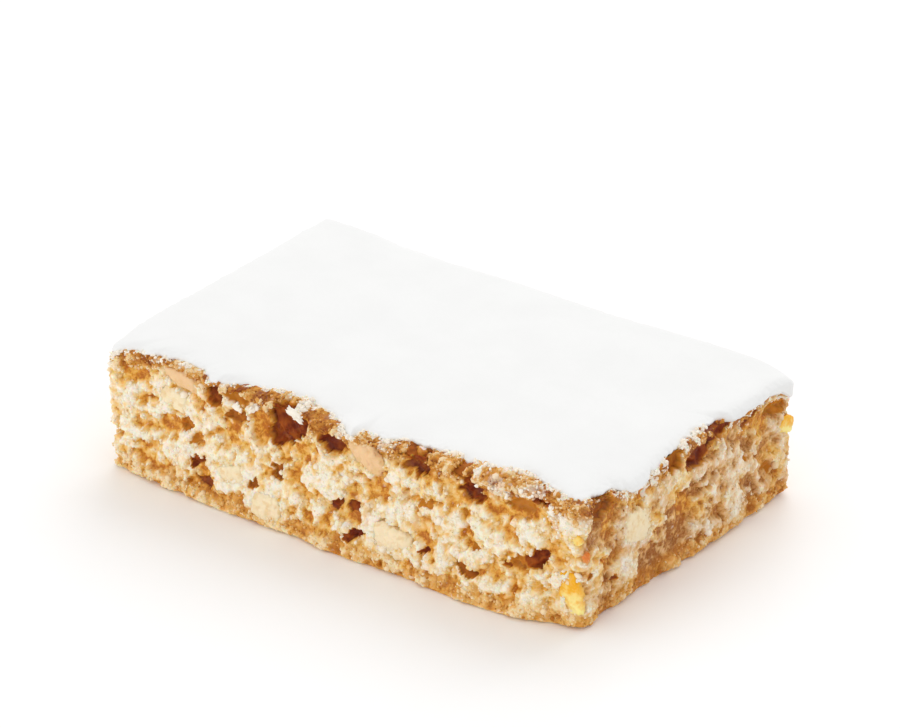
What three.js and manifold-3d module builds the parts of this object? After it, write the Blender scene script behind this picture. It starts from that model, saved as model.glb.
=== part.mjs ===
// Leckerli: a small slab of honey dough with chopped almonds and candied peel, cut from a baked
// sheet, under a thin skin of white sugar icing. Millimetres, +Z up, resting on z = 0.
// +X runs along the long cut sides; the front is the long side that faces -Y.
import * as THREE from 'three';
import { ImprovedNoise } from 'three/addons/math/ImprovedNoise.js';
import { mergeVertices } from 'three/addons/utils/BufferGeometryUtils.js';
import Module from 'manifold-3d';

// Driving dimensions.
const LENGTH = 60;
const WIDTH = 37;
const HEIGHT = 14.1; // from the base to the mean top of the icing
const CORNER = 1; // plan radius of the four cut corners
const END_LEAN = 0.5; // the knife ran out this far at the back of the right end
const LEAN_START = 0; // along Y
const LEAN_END = 12;
const ICING = 0.7; // thickness of the icing away from its edge
const ICING_RIM = 0.35; // thickness that is left at the icing's edge
const ICING_BEVEL = 0.2; // its underside ends this much further in than its edge
const ICING_GAP = 0.15; // air between the dough and the icing
const CHIP_GAP = 0.3; // air round a nut or a piece of peel in its pocket

// The top of the slab.
const SHOULDER_DROP = 0.25; // the dough's top edge is rounded by this height
const SHOULDER_REACH = 1.4; // over this distance from the cut
const BACK_RISE = 0.5; // the back edge baked higher than the middle, all but its left end
const BACK_START = 4; // along Y
const BACK_END = 17;
const BACK_LEFT = [-24, -6]; // the rise begins between these places along X
const FAR_CORNER_DROOP = 0.9; // the back right corner falls again
const DROOP_REACH = 5;
const LEFT_RISE = 1.2; // the left end baked higher than the middle
const RISE_START = -8; // along X
const RISE_END = -27;
const LEFT_CORNER_DROOP = 0.9; // its front corner falls again
const LEFT_DROOP_REACH = 7;
const END_DIP = 0.7; // a shallow dip in the edge of the right end
const END_DIP_SIZE = 5;
const END_DIP_PLACE = -8.5; // along Y
// Slow waves as sines, each with its height, its lengths along X and Y and its phase.
const TOP_WAVES = [[0.13, 6, 7, 0.5], [0.13, 6.5, -9, 2.1], [0.1, 4.1, -5.6, 0]];

// The cut sides and the base.
const BASE_INSET = 0.9; // the flat base ends this far inside the cut
const BASE_ROUND = 0.8; // height of the rounded bottom edge
const BELLY = 1.5; // the foot of the long sides spread this far while it was baked
const BELLY_MORE = 0.8; // and this much more in the right half
const BELLY_STEP = [-6, 2]; // between these places along X
const BELLY_FADE = 9; // it ends within this distance of both corners
const BELLY_HEIGHT = 9;
const BELLY_POWER = 1.3; // how fast it draws in upwards
const CUT_WAVES = [[0.2, 4.1, 5.3, 0.5], [0.13, 2.3, -2.9, 1.7]];
// Crags cut into the sides where noise of this size falls below its level.
const CRAGS = [{ size: 3.4, depth: 0.85 }, { size: 1.7, depth: 0.5 }];
const CRAG_LEVEL = 0.1;
const CRAG_SHIFT = 40;

// Mesh steps.
const SLICES = 156; // round the slab
const WALL_ROWS = 12;
const RIM_STEPS = [0, 0.55, 1.25]; // rings that follow the top edge, in from the first of them
const DOUGH_RIM = 0.4; // the dough's first ring is this far in from the cut
const TOP_SHARES = [0.88, 0.68, 0.38]; // inner rings, as shares of the way out from the middle

const GOLDEN = 0.618;
const noise = new ImprovedNoise();
const wasm = await Module();
wasm.setup();

const fraction = (value) => value - Math.floor(value);
const radians = THREE.MathUtils.degToRad;

// Each side is named by its turn about +Z from the front. Along it, places run to the right as
// seen from outside.
const SIDES = {
  front: { turn: 0, reach: WIDTH / 2, span: LENGTH },
  right: { turn: 90, reach: LENGTH / 2, span: WIDTH },
  back: { turn: 180, reach: WIDTH / 2, span: LENGTH },
  left: { turn: 270, reach: LENGTH / 2, span: WIDTH },
};

// The icing broke unevenly when the sheet was cut. At places along each side, its edge stands back
// from the cut by so much.
const ICING_EDGE = {
  front: [
    [-29.5, 0.9], [-26, 0.3], [-23.5, 1.1], [-20, 1], [-17, 0.15], [-15.5, 1.1], [-13, 2.1], [-8, 3],
    [-5.7, 2.5], [-2.2, 1.9], [0.9, 0.2], [1.6, 1.6], [4, 1.8], [6.2, 2.7], [12.4, 2.6], [14.6, 1.5],
    [19, 1.6], [22.4, 2.9], [24, 2.8], [26.2, 1.8], [28.5, 1.4],
  ],
  right: [
    [-17, 1.2], [-14, 1.2], [-11.3, 0.15], [-8.5, 0.15], [-4.7, 0.4], [0, 0.8], [5, 1], [6.5, 0.15],
    [8.5, 0.15], [17, 0.15],
  ],
  back: [[-24, 0.2], [-12, 0.3], [0, 0.15], [12, 0.3], [24, 0.2]],
  left: [[-14, 0.15], [-5, 0.4], [5, 0.2], [14, 0.5]],
};

// Pores in the crumb that are wide enough to see into. Each has its place along and up its side,
// half width, half height, depth and tilt in degrees.
const FRONT_PORES = [
  [-7, 10.6, 3, 2, 4, 28],
  [-16.2, 11.2, 1.9, 1.3, 1.8, 20],
  [-18.4, 4.3, 2, 1.2, 1.8, 22],
  [-7.6, 6.4, 1.8, 1.2, 1.3, 35],
  [1.3, 5, 2.2, 1.2, 2, 0],
  [9.4, 11, 2, 1.4, 1.8, -10],
  [16.7, 10.9, 1.9, 1.3, 2.4, 0],
  [23.8, 11.6, 2.4, 1.2, 2, 25],
  [23.9, 6.5, 2.2, 1.2, 2, 32],
  [16.6, 3.3, 2, 1.1, 1.2, -5],
  [-30.4, 4.6, 2.4, 1, 1.2, 0],
];
const RIGHT_PORES = [
  [-14.4, 11.2, 1.9, 1.3, 1.6, -20],
  [-2.2, 11.2, 2.6, 1.2, 1.8, 0],
  [8.9, 10.4, 2.4, 1.2, 1.6, -25],
  [-4.5, 4.6, 4.6, 2.4, 1, 40],
  [13.4, 3.8, 1.8, 1.2, 1, 0],
];
// The two sides that face away have pores of the same kind, spread evenly by a rule.
const RULED_PORES = { back: 9, left: 5 };
const RULED_MARGIN = 3; // clear of each end of the side
const PORE_WRAP = 4; // how far a pore near a corner reaches round it
const PORE_CLEAR = 3.2; // a ruled pore keeps this far from a chip

// Chopped almonds, blanched kernels and candied peel that show in the cut sides. Each has its
// place along and up its side, its half sizes along, up and into the dough, and its tilt.
const FINISHES = {
  almond: { color: 0xe3b988, roughness: 0.55 },
  kernel: { color: 0xefdcb4, roughness: 0.6 },
  lemon_peel: { color: 0xf5c23f, roughness: 0.35 },
  orange_peel: { color: 0xe8872f, roughness: 0.35 },
};
const CHIPS = [
  ['almond', 'front', 3.2, 11.4, 2.7, 1.55, 1.5, -34],
  ['almond', 'front', -20.3, 12.8, 3.2, 0.95, 1.1, -15],
  ['kernel', 'front', 7.3, 3.4, 2.6, 1.7, 1.5, -8],
  ['kernel', 'front', -21.7, 10.4, 1.9, 1.2, 1.3, -14],
  ['kernel', 'front', -13.5, 4.4, 1.8, 1.1, 1.2, 20],
  ['kernel', 'front', -8.7, 2.1, 2, 1.7, 1.3, 0],
  ['kernel', 'right', -9.3, 8, 2.3, 1.8, 1.4, -10],
  ['lemon_peel', 'front', 28.6, 3.9, 1.4, 2.4, 1.1, 8],
  ['lemon_peel', 'front', 28.9, 10.1, 0.9, 0.8, 0.8, 20],
  ['orange_peel', 'right', -17.8, 8, 0.6, 0.75, 0.8, 10],
  ['lemon_peel', 'right', 17.6, 8.4, 1.5, 1, 0.9, -20],
];
const RULED_CHIPS = { back: 5, left: 3 };
const RULED_KINDS = ['kernel', 'almond', 'kernel', 'lemon_peel'];
const CHIP_SINK = 0.05; // a chip's widest section lies this far inside the smooth face of the cut
const CHIP_FLAT = 0.35; // the knife leaves this share of the chip's depth outside that section
const CHIP_UNEVEN = 0.2; // share of its size by which a chip's surface varies
// How far a diced or chopped block is rounded towards a ball.
const ROUNDING = { kernel: 0.5, lemon_peel: 0.65, orange_peel: 0.75 };

// The plan of the slab: a rounded rectangle, anticlockwise from the left end of the front.
function cutOutline() {
  const x = LENGTH / 2 - CORNER;
  const y = WIDTH / 2 - CORNER;
  const outline = new THREE.Path();
  const corners = [[x, -y], [x, y], [-x, y], [-x, -y]];
  outline.moveTo(-x, -y - CORNER);
  outline.lineTo(x, -y - CORNER);
  corners.forEach(([cx, cy], i) => {
    const start = (i - 1) * Math.PI / 2;
    outline.absarc(cx, cy, CORNER, start, start + Math.PI / 2);
  });
  return outline;
}

// How far the right end leans out at a point of the plan.
function endLean({ x, y }) {
  const endShare = Math.max(0, x / (LENGTH / 2));
  return END_LEAN * endShare * THREE.MathUtils.smoothstep(y, LEAN_START, LEAN_END);
}

// Points round the outline at even steps, each with the direction that faces out of the slab.
function outlineSteps() {
  const outline = cutOutline();
  return Array.from({ length: SLICES }, (_, i) => {
    const point = outline.getPoint(i / SLICES);
    point.x += endLean(point);
    const tangent = outline.getTangent(i / SLICES);
    return { point, outward: new THREE.Vector2(tangent.y, -tangent.x) };
  });
}

function waveSum(waves, x, y) {
  return waves.reduce((sum, [height, alongX, alongY, phase]) => {
    return sum + height * Math.sin(x / alongX + y / alongY + phase);
  }, 0);
}

// A hollow that falls to its depth at a corner of the slab.
function cornerDroop(x, y, cornerX, cornerY, depth, reach) {
  return depth * Math.max(0, 1 - Math.hypot(x - cornerX, y - cornerY) / reach) ** 2;
}

// Height of the dough's top, before its edge is rounded: slow waves and the higher left and back,
// less the two low corners and the dip.
function topHeight(x, y) {
  const left = LEFT_RISE * THREE.MathUtils.smoothstep(-x, -RISE_START, -RISE_END);
  const back = BACK_RISE * THREE.MathUtils.smoothstep(y, BACK_START, BACK_END);
  const rise = left + back * THREE.MathUtils.smoothstep(x, ...BACK_LEFT);
  const farDroop = cornerDroop(x, y, LENGTH / 2, WIDTH / 2, FAR_CORNER_DROOP, DROOP_REACH);
  const leftDroop = cornerDroop(x, y, -LENGTH / 2, -WIDTH / 2, LEFT_CORNER_DROOP, LEFT_DROOP_REACH);
  const toDip = Math.hypot(x - LENGTH / 2, y - END_DIP_PLACE) / END_DIP_SIZE;
  const dip = END_DIP * Math.exp(-toDip * toDip);
  return HEIGHT - ICING + waveSum(TOP_WAVES, x, y) + rise - farDroop - leftDroop - dip;
}

// How far the rounded top edge has fallen at a distance in from the cut.
function shoulderDrop(inset) {
  return SHOULDER_DROP * Math.max(0, 1 - inset / SHOULDER_REACH) ** 2;
}

// Even steps along a side that is finished by rule, each with a golden share for its other values.
function ruledSteps(side, count) {
  return Array.from({ length: count }, (_, i) => ({
    along: ((i + 0.5) / count - 0.5) * (SIDES[side].span - 2 * RULED_MARGIN),
    share: fraction((i + 1) * GOLDEN),
  }));
}

// Chips for such a side, alternately low and high.
function ruledChips(side, count) {
  return ruledSteps(side, count).map(({ along, share }, i) => {
    const kind = RULED_KINDS[i % RULED_KINDS.length];
    const up = i % 2 ? 9.6 - 1.8 * share : 3 + 2.4 * share;
    const size = 1.2 + 1.1 * share;
    return [kind, side, along, up, size, 0.75 * size, 0.7 * size, 90 * share - 45];
  });
}

const ALL_CHIPS = [
  ...CHIPS,
  ...Object.entries(RULED_CHIPS).flatMap(([side, count]) => ruledChips(side, count)),
];

// Pores for such a side, where no chip is in the way.
function ruledPores(side, count) {
  const pores = ruledSteps(side, count).map(({ along, share }) => {
    const size = 0.8 + 0.7 * fraction(share * 7);
    return [along, 2.4 + 8.6 * share, 2 * size, 1.2 * size, 1 + size, 50 * share - 20];
  });
  return pores.filter(([along, up]) => ALL_CHIPS.every(([, chipSide, chipAlong, chipUp]) => {
    return chipSide !== side || Math.hypot(along - chipAlong, up - chipUp) > PORE_CLEAR;
  }));
}

const PORES = { front: FRONT_PORES, right: RIGHT_PORES };
for (const [side, count] of Object.entries(RULED_PORES)) PORES[side] = ruledPores(side, count);

// A point of the wall as a place along a side, up it and out of its plane.
function onSide({ turn, reach }, point) {
  const c = Math.cos(radians(turn));
  const s = Math.sin(radians(turn));
  return { along: point.x * c + point.y * s, out: point.x * s - point.y * c - reach };
}

// Depth of the deepest pore at a point of the wall. A pore is a bowl over an ellipse.
function poreDepth(point) {
  let deepest = 0;
  for (const [name, pores] of Object.entries(PORES)) {
    const { along, out } = onSide(SIDES[name], point);
    for (const [place, up, halfWidth, halfHeight, depth, tilt] of pores) {
      const c = Math.cos(radians(tilt));
      const s = Math.sin(radians(tilt));
      const across = along - place;
      const rise = point.z - up;
      const u = (across * c + rise * s) / halfWidth;
      const v = (rise * c - across * s) / halfHeight;
      const inside = 1 - u * u - v * v - (out / PORE_WRAP) ** 2;
      deepest = Math.max(deepest, depth * inside);
    }
  }
  return deepest;
}

// How far the smooth face of the cut stands out at a point of the wall: slow waves and the belly.
function cutSwell({ x, y, z }) {
  const most = BELLY + BELLY_MORE * THREE.MathUtils.smoothstep(x, ...BELLY_STEP);
  const toCorner = THREE.MathUtils.smoothstep(LENGTH / 2 - Math.abs(x), 0, BELLY_FADE);
  const upward = Math.max(0, 1 - z / BELLY_HEIGHT) ** BELLY_POWER;
  return waveSum(CUT_WAVES, x, y) + most * toCorner * upward;
}

// Relief of the cut at a point of the wall, outwards: the swell, crags that only cut in, and pores.
function cutRelief(point) {
  const { x, y, z } = point;
  const crags = CRAGS.reduce((sum, { size, depth }) => {
    const place = [x, y, z].map((value) => value / size + CRAG_SHIFT);
    return sum + depth * Math.min(0, noise.noise(...place) - CRAG_LEVEL);
  }, 0);
  return cutSwell(point) + crags - poreDepth(point);
}

// A ring of the wall at a share of the way from the rounded base to the rounded top edge.
function wallRing(steps, share) {
  return steps.map(({ point, outward }) => {
    const top = topHeight(point.x, point.y) - SHOULDER_DROP;
    const place = new THREE.Vector3(point.x, point.y, THREE.MathUtils.lerp(BASE_ROUND, top, share));
    const relief = cutRelief(place);
    place.x += outward.x * relief;
    place.y += outward.y * relief;
    return place;
  });
}

// A level ring inside the swollen outline, for the base. The relief is half as deep there.
function baseRing(steps, inset, z) {
  return steps.map(({ point, outward }) => {
    const place = new THREE.Vector3(point.x, point.y, z);
    const out = (cutSwell(place) + cutRelief(place)) / 2 - inset;
    return place.set(point.x + outward.x * out, point.y + outward.y * out, z);
  });
}

// A point of the outline drawn in towards the middle. Corners keep their form at any inset.
function drawnIn({ x, y }, inset) {
  return new THREE.Vector2(x * (1 - 2 * inset / LENGTH), y * (1 - 2 * inset / WIDTH));
}

// How far the icing's edge stands back at a step of the outline, between the places of its side.
function icingSetback({ point, outward }) {
  const name = Object.keys(SIDES).reduce((best, side) => {
    const facing = (turn) => outward.x * Math.sin(radians(turn)) - outward.y * Math.cos(radians(turn));
    return facing(SIDES[side].turn) > facing(SIDES[best].turn) ? side : best;
  });
  const { along } = onSide(SIDES[name], point);
  const edge = ICING_EDGE[name];
  const next = edge.findIndex(([place]) => place > along);
  if (next === 0) return edge[0][1];
  if (next < 0) return edge[edge.length - 1][1];
  const [[low, lowBack], [high, highBack]] = [edge[next - 1], edge[next]];
  return THREE.MathUtils.mapLinear(along, low, high, lowBack, highBack);
}

// Rings of the top from the edge to the middle. The first is drawn in by first(step), and each is
// raised above the dough by lift(distance from the first).
function topRings(steps, first, lift) {
  const edge = RIM_STEPS.map((distance) => steps.map((step) => {
    const inset = first(step) + distance;
    const { x, y } = drawnIn(step.point, inset);
    return new THREE.Vector3(x, y, topHeight(x, y) - shoulderDrop(inset) + lift(distance));
  }));
  const last = edge[edge.length - 1];
  const inner = TOP_SHARES.map((share) => last.map(({ x, y }) => {
    return new THREE.Vector3(x * share, y * share, topHeight(x * share, y * share) + lift(Infinity));
  }));
  return [...edge, ...inner];
}

// A closed skin through rings that run anticlockwise as seen from above, from the lowest up. Each
// end is closed by a fan round the middle of its ring.
function skinOf(rings) {
  const count = rings[0].length;
  const bottom = rings.length * count;
  const top = bottom + 1;
  const last = bottom - count;
  const middles = [rings[0], rings[rings.length - 1]].map((ring) => {
    return ring.reduce((sum, place) => sum.addScaledVector(place, 1 / count), new THREE.Vector3());
  });
  const index = [];
  for (let i = 0; i < count; i++) {
    const next = (i + 1) % count;
    for (let row = 0; row < last; row += count) {
      index.push(row + i, row + next, row + count + next);
      index.push(row + i, row + count + next, row + count + i);
    }
    index.push(bottom, next, i);
    index.push(top, last + i, last + next);
  }
  const geometry = new THREE.BufferGeometry().setFromPoints([...rings.flat(), ...middles]);
  geometry.setIndex(index);
  geometry.computeVertexNormals();
  return geometry;
}

function solidOf(geometry) {
  geometry.deleteAttribute('normal');
  geometry.deleteAttribute('uv');
  const { attributes, index } = mergeVertices(geometry, 1e-4);
  return new wasm.Manifold(new wasm.Mesh({
    numProp: 3,
    vertProperties: attributes.position.array,
    triVerts: new Uint32Array(index.array),
  }));
}

function geometryOf(solid) {
  const { vertProperties, triVerts } = solid.getMesh();
  const geometry = new THREE.BufferGeometry();
  geometry.setAttribute('position', new THREE.BufferAttribute(vertProperties, 3));
  geometry.setIndex(new THREE.BufferAttribute(triVerts, 1));
  geometry.computeVertexNormals();
  return geometry;
}

function finishOf(kind) {
  return new THREE.MeshStandardMaterial({ ...FINISHES[kind], metalness: 0 });
}

// An almond is a coarse ball with uneven facets. Chopped kernels and diced peel are blocks with
// rounded corners. All are flattened on the side that faces out of the cut, which is their +Z.
function chipForm(kind, seed) {
  const rounding = ROUNDING[kind];
  const form = rounding ? new THREE.BoxGeometry(2, 2, 2, 2, 2, 2) : new THREE.IcosahedronGeometry(1, 1);
  const places = form.attributes.position;
  const place = new THREE.Vector3();
  for (let i = 0; i < places.count; i++) {
    place.fromBufferAttribute(places, i);
    const uneven = noise.noise(place.x * 1.3 + seed * 5.1, place.y * 1.3, place.z * 1.3);
    const length = rounding ? THREE.MathUtils.lerp(place.length(), 1, rounding) : 1;
    place.setLength(length * (1 + CHIP_UNEVEN * uneven));
    places.setXYZ(i, place.x, place.y, place.z > 0 ? place.z * CHIP_FLAT : place.z);
  }
  return form;
}

// The chips as meshes, each placed in a group that stands on the plane of its side, with the
// slightly larger forms that cut their pockets.
function placeChips(parent) {
  const faces = {};
  for (const [name, { turn, reach }] of Object.entries(SIDES)) {
    const side = new THREE.Group();
    side.rotation.z = radians(turn);
    faces[name] = new THREE.Group();
    faces[name].position.y = -reach;
    faces[name].rotation.x = Math.PI / 2;
    side.add(faces[name]);
    parent.add(side);
  }
  const counts = {};
  return ALL_CHIPS.map(([kind, side, along, up, halfLength, halfHeight, halfDepth, tilt], i) => {
    counts[kind] = (counts[kind] ?? 0) + 1;
    const sizes = new THREE.Vector3(halfLength, halfHeight, halfDepth);
    const form = chipForm(kind, i + 1);
    const pocket = form.clone().scale(...sizes.clone().addScalar(CHIP_GAP));
    const chip = new THREE.Mesh(form.scale(...sizes), finishOf(kind));
    chip.name = `${kind}_${counts[kind]}`;
    chip.position.set(along, up, 0);
    chip.rotation.z = radians(tilt);
    faces[side].add(chip);
    const place = chip.getWorldPosition(new THREE.Vector3());
    const lean = side === 'right' ? endLean(place) : 0;
    chip.position.z = cutSwell(place) + lean - CHIP_SINK;
    return { chip, pocket };
  });
}

// The dough: base, cut sides and top in one skin, with a pocket for every chip.
function makeDough(steps, chips) {
  const shares = Array.from({ length: WALL_ROWS }, (_, i) => i / (WALL_ROWS - 1));
  const rings = [
    baseRing(steps, BASE_INSET, 0),
    baseRing(steps, BASE_INSET / 4, BASE_ROUND / 3),
    ...shares.map((share) => wallRing(steps, share)),
    ...topRings(steps, () => DOUGH_RIM, () => 0),
  ];
  let dough = solidOf(skinOf(rings));
  for (const { chip, pocket } of chips) {
    dough = dough.subtract(solidOf(pocket.applyMatrix4(chip.matrixWorld)));
  }
  const [largest] = dough.decompose().sort((a, b) => b.volume() - a.volume());
  const finish = new THREE.MeshStandardMaterial({ color: 0xd9ab6b, roughness: 0.85, metalness: 0 });
  const mesh = new THREE.Mesh(geometryOf(largest), finish);
  mesh.name = 'dough';
  return mesh;
}

// The icing: a skin over the top that thins to its uneven edge.
function makeIcing(steps) {
  const thinning = RIM_STEPS[RIM_STEPS.length - 1];
  const thickness = (distance) => THREE.MathUtils.lerp(ICING_RIM, ICING, Math.min(1, distance / thinning));
  const under = topRings(steps, (step) => icingSetback(step) + ICING_BEVEL, () => ICING_GAP);
  const over = topRings(steps, icingSetback, thickness);
  const geometry = skinOf([...under.reverse(), ...over]);
  const finish = new THREE.MeshStandardMaterial({ color: 0xf7f7f5, roughness: 0.6, metalness: 0 });
  const mesh = new THREE.Mesh(geometry, finish);
  mesh.name = 'icing';
  return mesh;
}

const leckerli = new THREE.Group();
const steps = outlineSteps();
const chips = placeChips(leckerli);
leckerli.updateMatrixWorld(true);
leckerli.add(makeDough(steps, chips), makeIcing(steps));

export default leckerli;
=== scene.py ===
# %% [markdown]
# # A leckerli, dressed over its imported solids
# A leckerli is a small slab of baked honey dough with chopped nuts and candied peel, cut from a sheet while
# it is warm and covered by a thin sugar icing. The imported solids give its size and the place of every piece.
# This lesson builds the fine surfaces over them: the torn crumb of the cut sides, the nuts and the peel, the
# icing with its ragged edge, and the loose grains. All lengths are in millimetres until a mesh is made.

# %% Load the frame
from itertools import combinations

import bpy
import numpy as np
from mathutils import Matrix


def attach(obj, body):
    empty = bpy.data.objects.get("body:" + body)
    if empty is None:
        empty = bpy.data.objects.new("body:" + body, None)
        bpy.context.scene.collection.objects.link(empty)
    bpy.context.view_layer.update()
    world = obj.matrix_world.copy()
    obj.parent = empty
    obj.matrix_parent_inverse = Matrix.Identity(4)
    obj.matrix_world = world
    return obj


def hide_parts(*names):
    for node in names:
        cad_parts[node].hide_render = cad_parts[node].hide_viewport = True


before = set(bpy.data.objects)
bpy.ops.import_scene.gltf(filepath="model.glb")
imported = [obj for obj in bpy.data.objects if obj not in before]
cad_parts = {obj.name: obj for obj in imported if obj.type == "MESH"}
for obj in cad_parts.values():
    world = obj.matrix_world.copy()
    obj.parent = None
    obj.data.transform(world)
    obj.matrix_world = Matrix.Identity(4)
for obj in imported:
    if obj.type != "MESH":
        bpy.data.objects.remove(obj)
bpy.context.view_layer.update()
MM = 0.001

# %% [markdown]
# ## The slab's large forms
# The knife left a rectangle in plan with slightly rounded corners, and ran out a little at the back of the
# right end. The top waves, rises at the left and the back and dips at the right end. The foot of the long
# sides spread while it was baked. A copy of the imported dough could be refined, but it would keep the solid's
# facets. The same few named sizes that drive the solids give smooth formulas here, so that the fine surface
# lies on the solids and nothing has to be fitted by eye.

# %% Sizes that the solids share
LENGTH, WIDTH, HEIGHT = 60.0, 37.0, 14.1
ICING = 0.7
SHOULDER_DROP, SHOULDER_REACH = 0.25, 1.4
FAR_CORNER_DROOP, DROOP_REACH = 0.9, 5.0
LEFT_CORNER_DROOP, LEFT_REACH = 0.9, 7.0
LEFT_RISE, RISE_START, RISE_END = 1.2, -8.0, -27.0
BACK_RISE, BACK_START, BACK_END, BACK_LEFT = 0.5, 4.0, 17.0, (-24.0, -6.0)
END_DIP, END_DIP_SIZE, END_DIP_PLACE = 0.7, 5.0, -8.5
BELLY, BELLY_MORE, BELLY_STEP, BELLY_FADE = 1.5, 0.8, (-6.0, 2.0), 9.0
BELLY_HEIGHT, BELLY_POWER = 9.0, 1.3
TOP_WAVES = [(0.13, 6, 7, 0.5), (0.13, 6.5, -9, 2.1), (0.1, 4.1, -5.6, 0)]
CUT_WAVES = [(0.2, 4.1, 5.3, 0.5), (0.13, 2.3, -2.9, 1.7)]


def wave_sum(waves, x, y):
    """Sum of sines, each with a height, a length along x and along y, and a phase."""
    return sum(h * np.sin(x / a + y / b + p) for h, a, b, p in waves)


def smooth(low, high, value):
    """A step from 0 to 1 between two levels, with soft ends."""
    t = np.clip((value - low) / (high - low), 0, 1)
    return t * t * (3 - 2 * t)


def top_height(x, y):
    """Dough's top: mean height, slow waves, the left and back rise, less two low corners and a dip."""
    far = np.hypot(x - LENGTH / 2, y - WIDTH / 2) / DROOP_REACH
    left = np.hypot(x + LENGTH / 2, y + WIDTH / 2) / LEFT_REACH
    dip = np.hypot(x - LENGTH / 2, y - END_DIP_PLACE) / END_DIP_SIZE
    droop = FAR_CORNER_DROOP * np.maximum(0, 1 - far) ** 2 + LEFT_CORNER_DROOP * np.maximum(0, 1 - left) ** 2
    rise = LEFT_RISE * smooth(RISE_START, RISE_END, x)
    rise = rise + BACK_RISE * smooth(BACK_START, BACK_END, y) * smooth(*BACK_LEFT, x)
    return HEIGHT - ICING + wave_sum(TOP_WAVES, x, y) + rise - droop - END_DIP * np.exp(-(dip**2))


def shoulder_drop(inset):
    """Rounded top edge: a parabola that falls to the full drop at the cut."""
    return SHOULDER_DROP * np.maximum(0, 1 - inset / SHOULDER_REACH) ** 2


def cut_swell(x, y, z):
    """How far the smooth cut stands out: slow waves, and a belly that fades upwards and to the ends."""
    most = BELLY + BELLY_MORE * smooth(*BELLY_STEP, x)
    upward = np.maximum(0, 1 - z / BELLY_HEIGHT) ** BELLY_POWER
    return wave_sum(CUT_WAVES, x, y) + most * upward * smooth(0, BELLY_FADE, LENGTH / 2 - np.abs(x))


print("dough's height at the middle, mm:", top_height(0.0, 0.0).round(2))

# %% The outline of the cut
CORNER = 1.0
END_LEAN, LEAN_START, LEAN_END = 0.5, 0.0, 12.0
SEEN, UNSEEN = 650, 290


def outline(share):
    """Rounded rectangle by arc length: straight runs and quarter circles, from the left end of the front.

    Gives x, y and the direction that faces out of the slab.
    """
    spans = np.array([LENGTH, WIDTH, LENGTH, WIDTH]) - 2 * CORNER
    reach = np.array([WIDTH, LENGTH, WIDTH, LENGTH]) / 2
    ends = np.cumsum(spans + np.pi / 2 * CORNER)
    run = share * ends[-1]
    side = np.searchsorted(ends, run, side="right")
    run = run - np.concatenate([[0], ends])[side]
    bend = np.maximum(0, run - spans[side]) / CORNER
    along = np.minimum(run, spans[side]) - spans[side] / 2 + CORNER * np.sin(bend)
    out = reach[side] - CORNER * (1 - np.cos(bend))
    turn = side * np.pi / 2
    x = along * np.cos(turn) + out * np.sin(turn)
    y = along * np.sin(turn) - out * np.cos(turn)
    x = x + END_LEAN * np.maximum(0, x / (LENGTH / 2)) * smooth(LEAN_START, LEAN_END, y)
    return x, y, np.sin(turn + bend), -np.cos(turn + bend)


# The front and the right end get most of the columns.
shares = np.concatenate([np.arange(SEEN) / SEEN, 1 + np.arange(UNSEEN) / UNSEEN]) / 2
COLUMNS = len(shares)
edge_x, edge_y, out_x, out_y = outline(shares)
rim_place = np.stack([edge_x, edge_y, np.zeros(COLUMNS)], -1)
print("columns:", COLUMNS, "steps mm:", np.hypot(np.diff(edge_x), np.diff(edge_y))[[5, -5]].round(3))


def level_row(inset, z):
    """The outline drawn in towards the middle by an inset, at one height. The inset may vary by column."""
    x = edge_x * (1 - inset / (LENGTH / 2))
    y = edge_y * (1 - inset / (WIDTH / 2))
    return np.stack([x, y, np.zeros(COLUMNS) + z], -1)


def top_row(inset):
    """The outline drawn in, on the dough's rounded top."""
    row = level_row(inset, 0.0)
    row[:, 2] = top_height(row[:, 0], row[:, 1]) - shoulder_drop(inset)
    return row


# %% [markdown]
# ## Noise from hashed lattices
# Torn crumb has lumps of every size. Blender's own noise textures could displace a mesh, but the relief is
# also needed as numbers, to place grains and to choose colours. Two kinds of noise give it: gradient noise
# for slow, smooth change, and the distance to the nearest of many scattered points for rounded lumps. Both
# work on whole arrays and hash their lattice, so each run gives the same biscuit. In a term such as
# 0.4 * noise(place, 1.3, 25) the numbers are a height and a size in millimetres, and a seed.

# %% Gradient noise and lumps
def hashed(cells, seed):
    """Integer hash of lattice cells to a number from 0 to 1: large odd factors and shifts mix the bits."""
    i, j, k = (cells[..., n].astype(np.int64) for n in range(3))
    h = (i * 374761393 + j * 668265263 + k * 1274126177 + seed * 974634777) & 0xFFFFFFFF
    h = ((h ^ (h >> 13)) * 1103515245) & 0xFFFFFFFF
    h = ((h ^ (h >> 15)) * 2246822519) & 0xFFFFFFFF
    return (h ^ (h >> 16)) / 0xFFFFFFFF


CUBE = np.array([(i, j, k) for i in (0, 1) for j in (0, 1) for k in (0, 1)])
NEIGHBOURS = np.array([(i, j, k) for i in (-1, 0, 1) for j in (-1, 0, 1) for k in (-1, 0, 1)])
AXIS_SEED, NUMBER_SEED = 101, 707
NOISE_GAIN = 1.6


def noise(place, size, seed):
    """Gradient noise: at each corner of a cell a random slope times the offset, blended by a smooth curve."""
    cell = np.floor(place / size)
    offset = place / size - cell
    blend = offset**3 * (offset * (offset * 6 - 15) + 10)
    total = np.zeros(place.shape[:-1])
    for corner in CUBE:
        slope = np.stack([hashed(cell + corner, seed + AXIS_SEED * n) * 2 - 1 for n in range(3)], -1)
        weight = np.where(corner, blend, 1 - blend).prod(-1)
        total += weight * (slope * (offset - corner)).sum(-1)
    return total * NOISE_GAIN


def noise_vector(place, size, seed):
    """Three noises as a vector, to push places about."""
    return np.stack([noise(place, size, seed + n) for n in range(3)], -1)


def fractal(place, size, seed, octaves=4, gain=0.55):
    """Sum of noise at halving sizes and falling heights."""
    return sum(gain**n * noise(place, size / 2**n, seed + n) for n in range(octaves))


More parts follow.
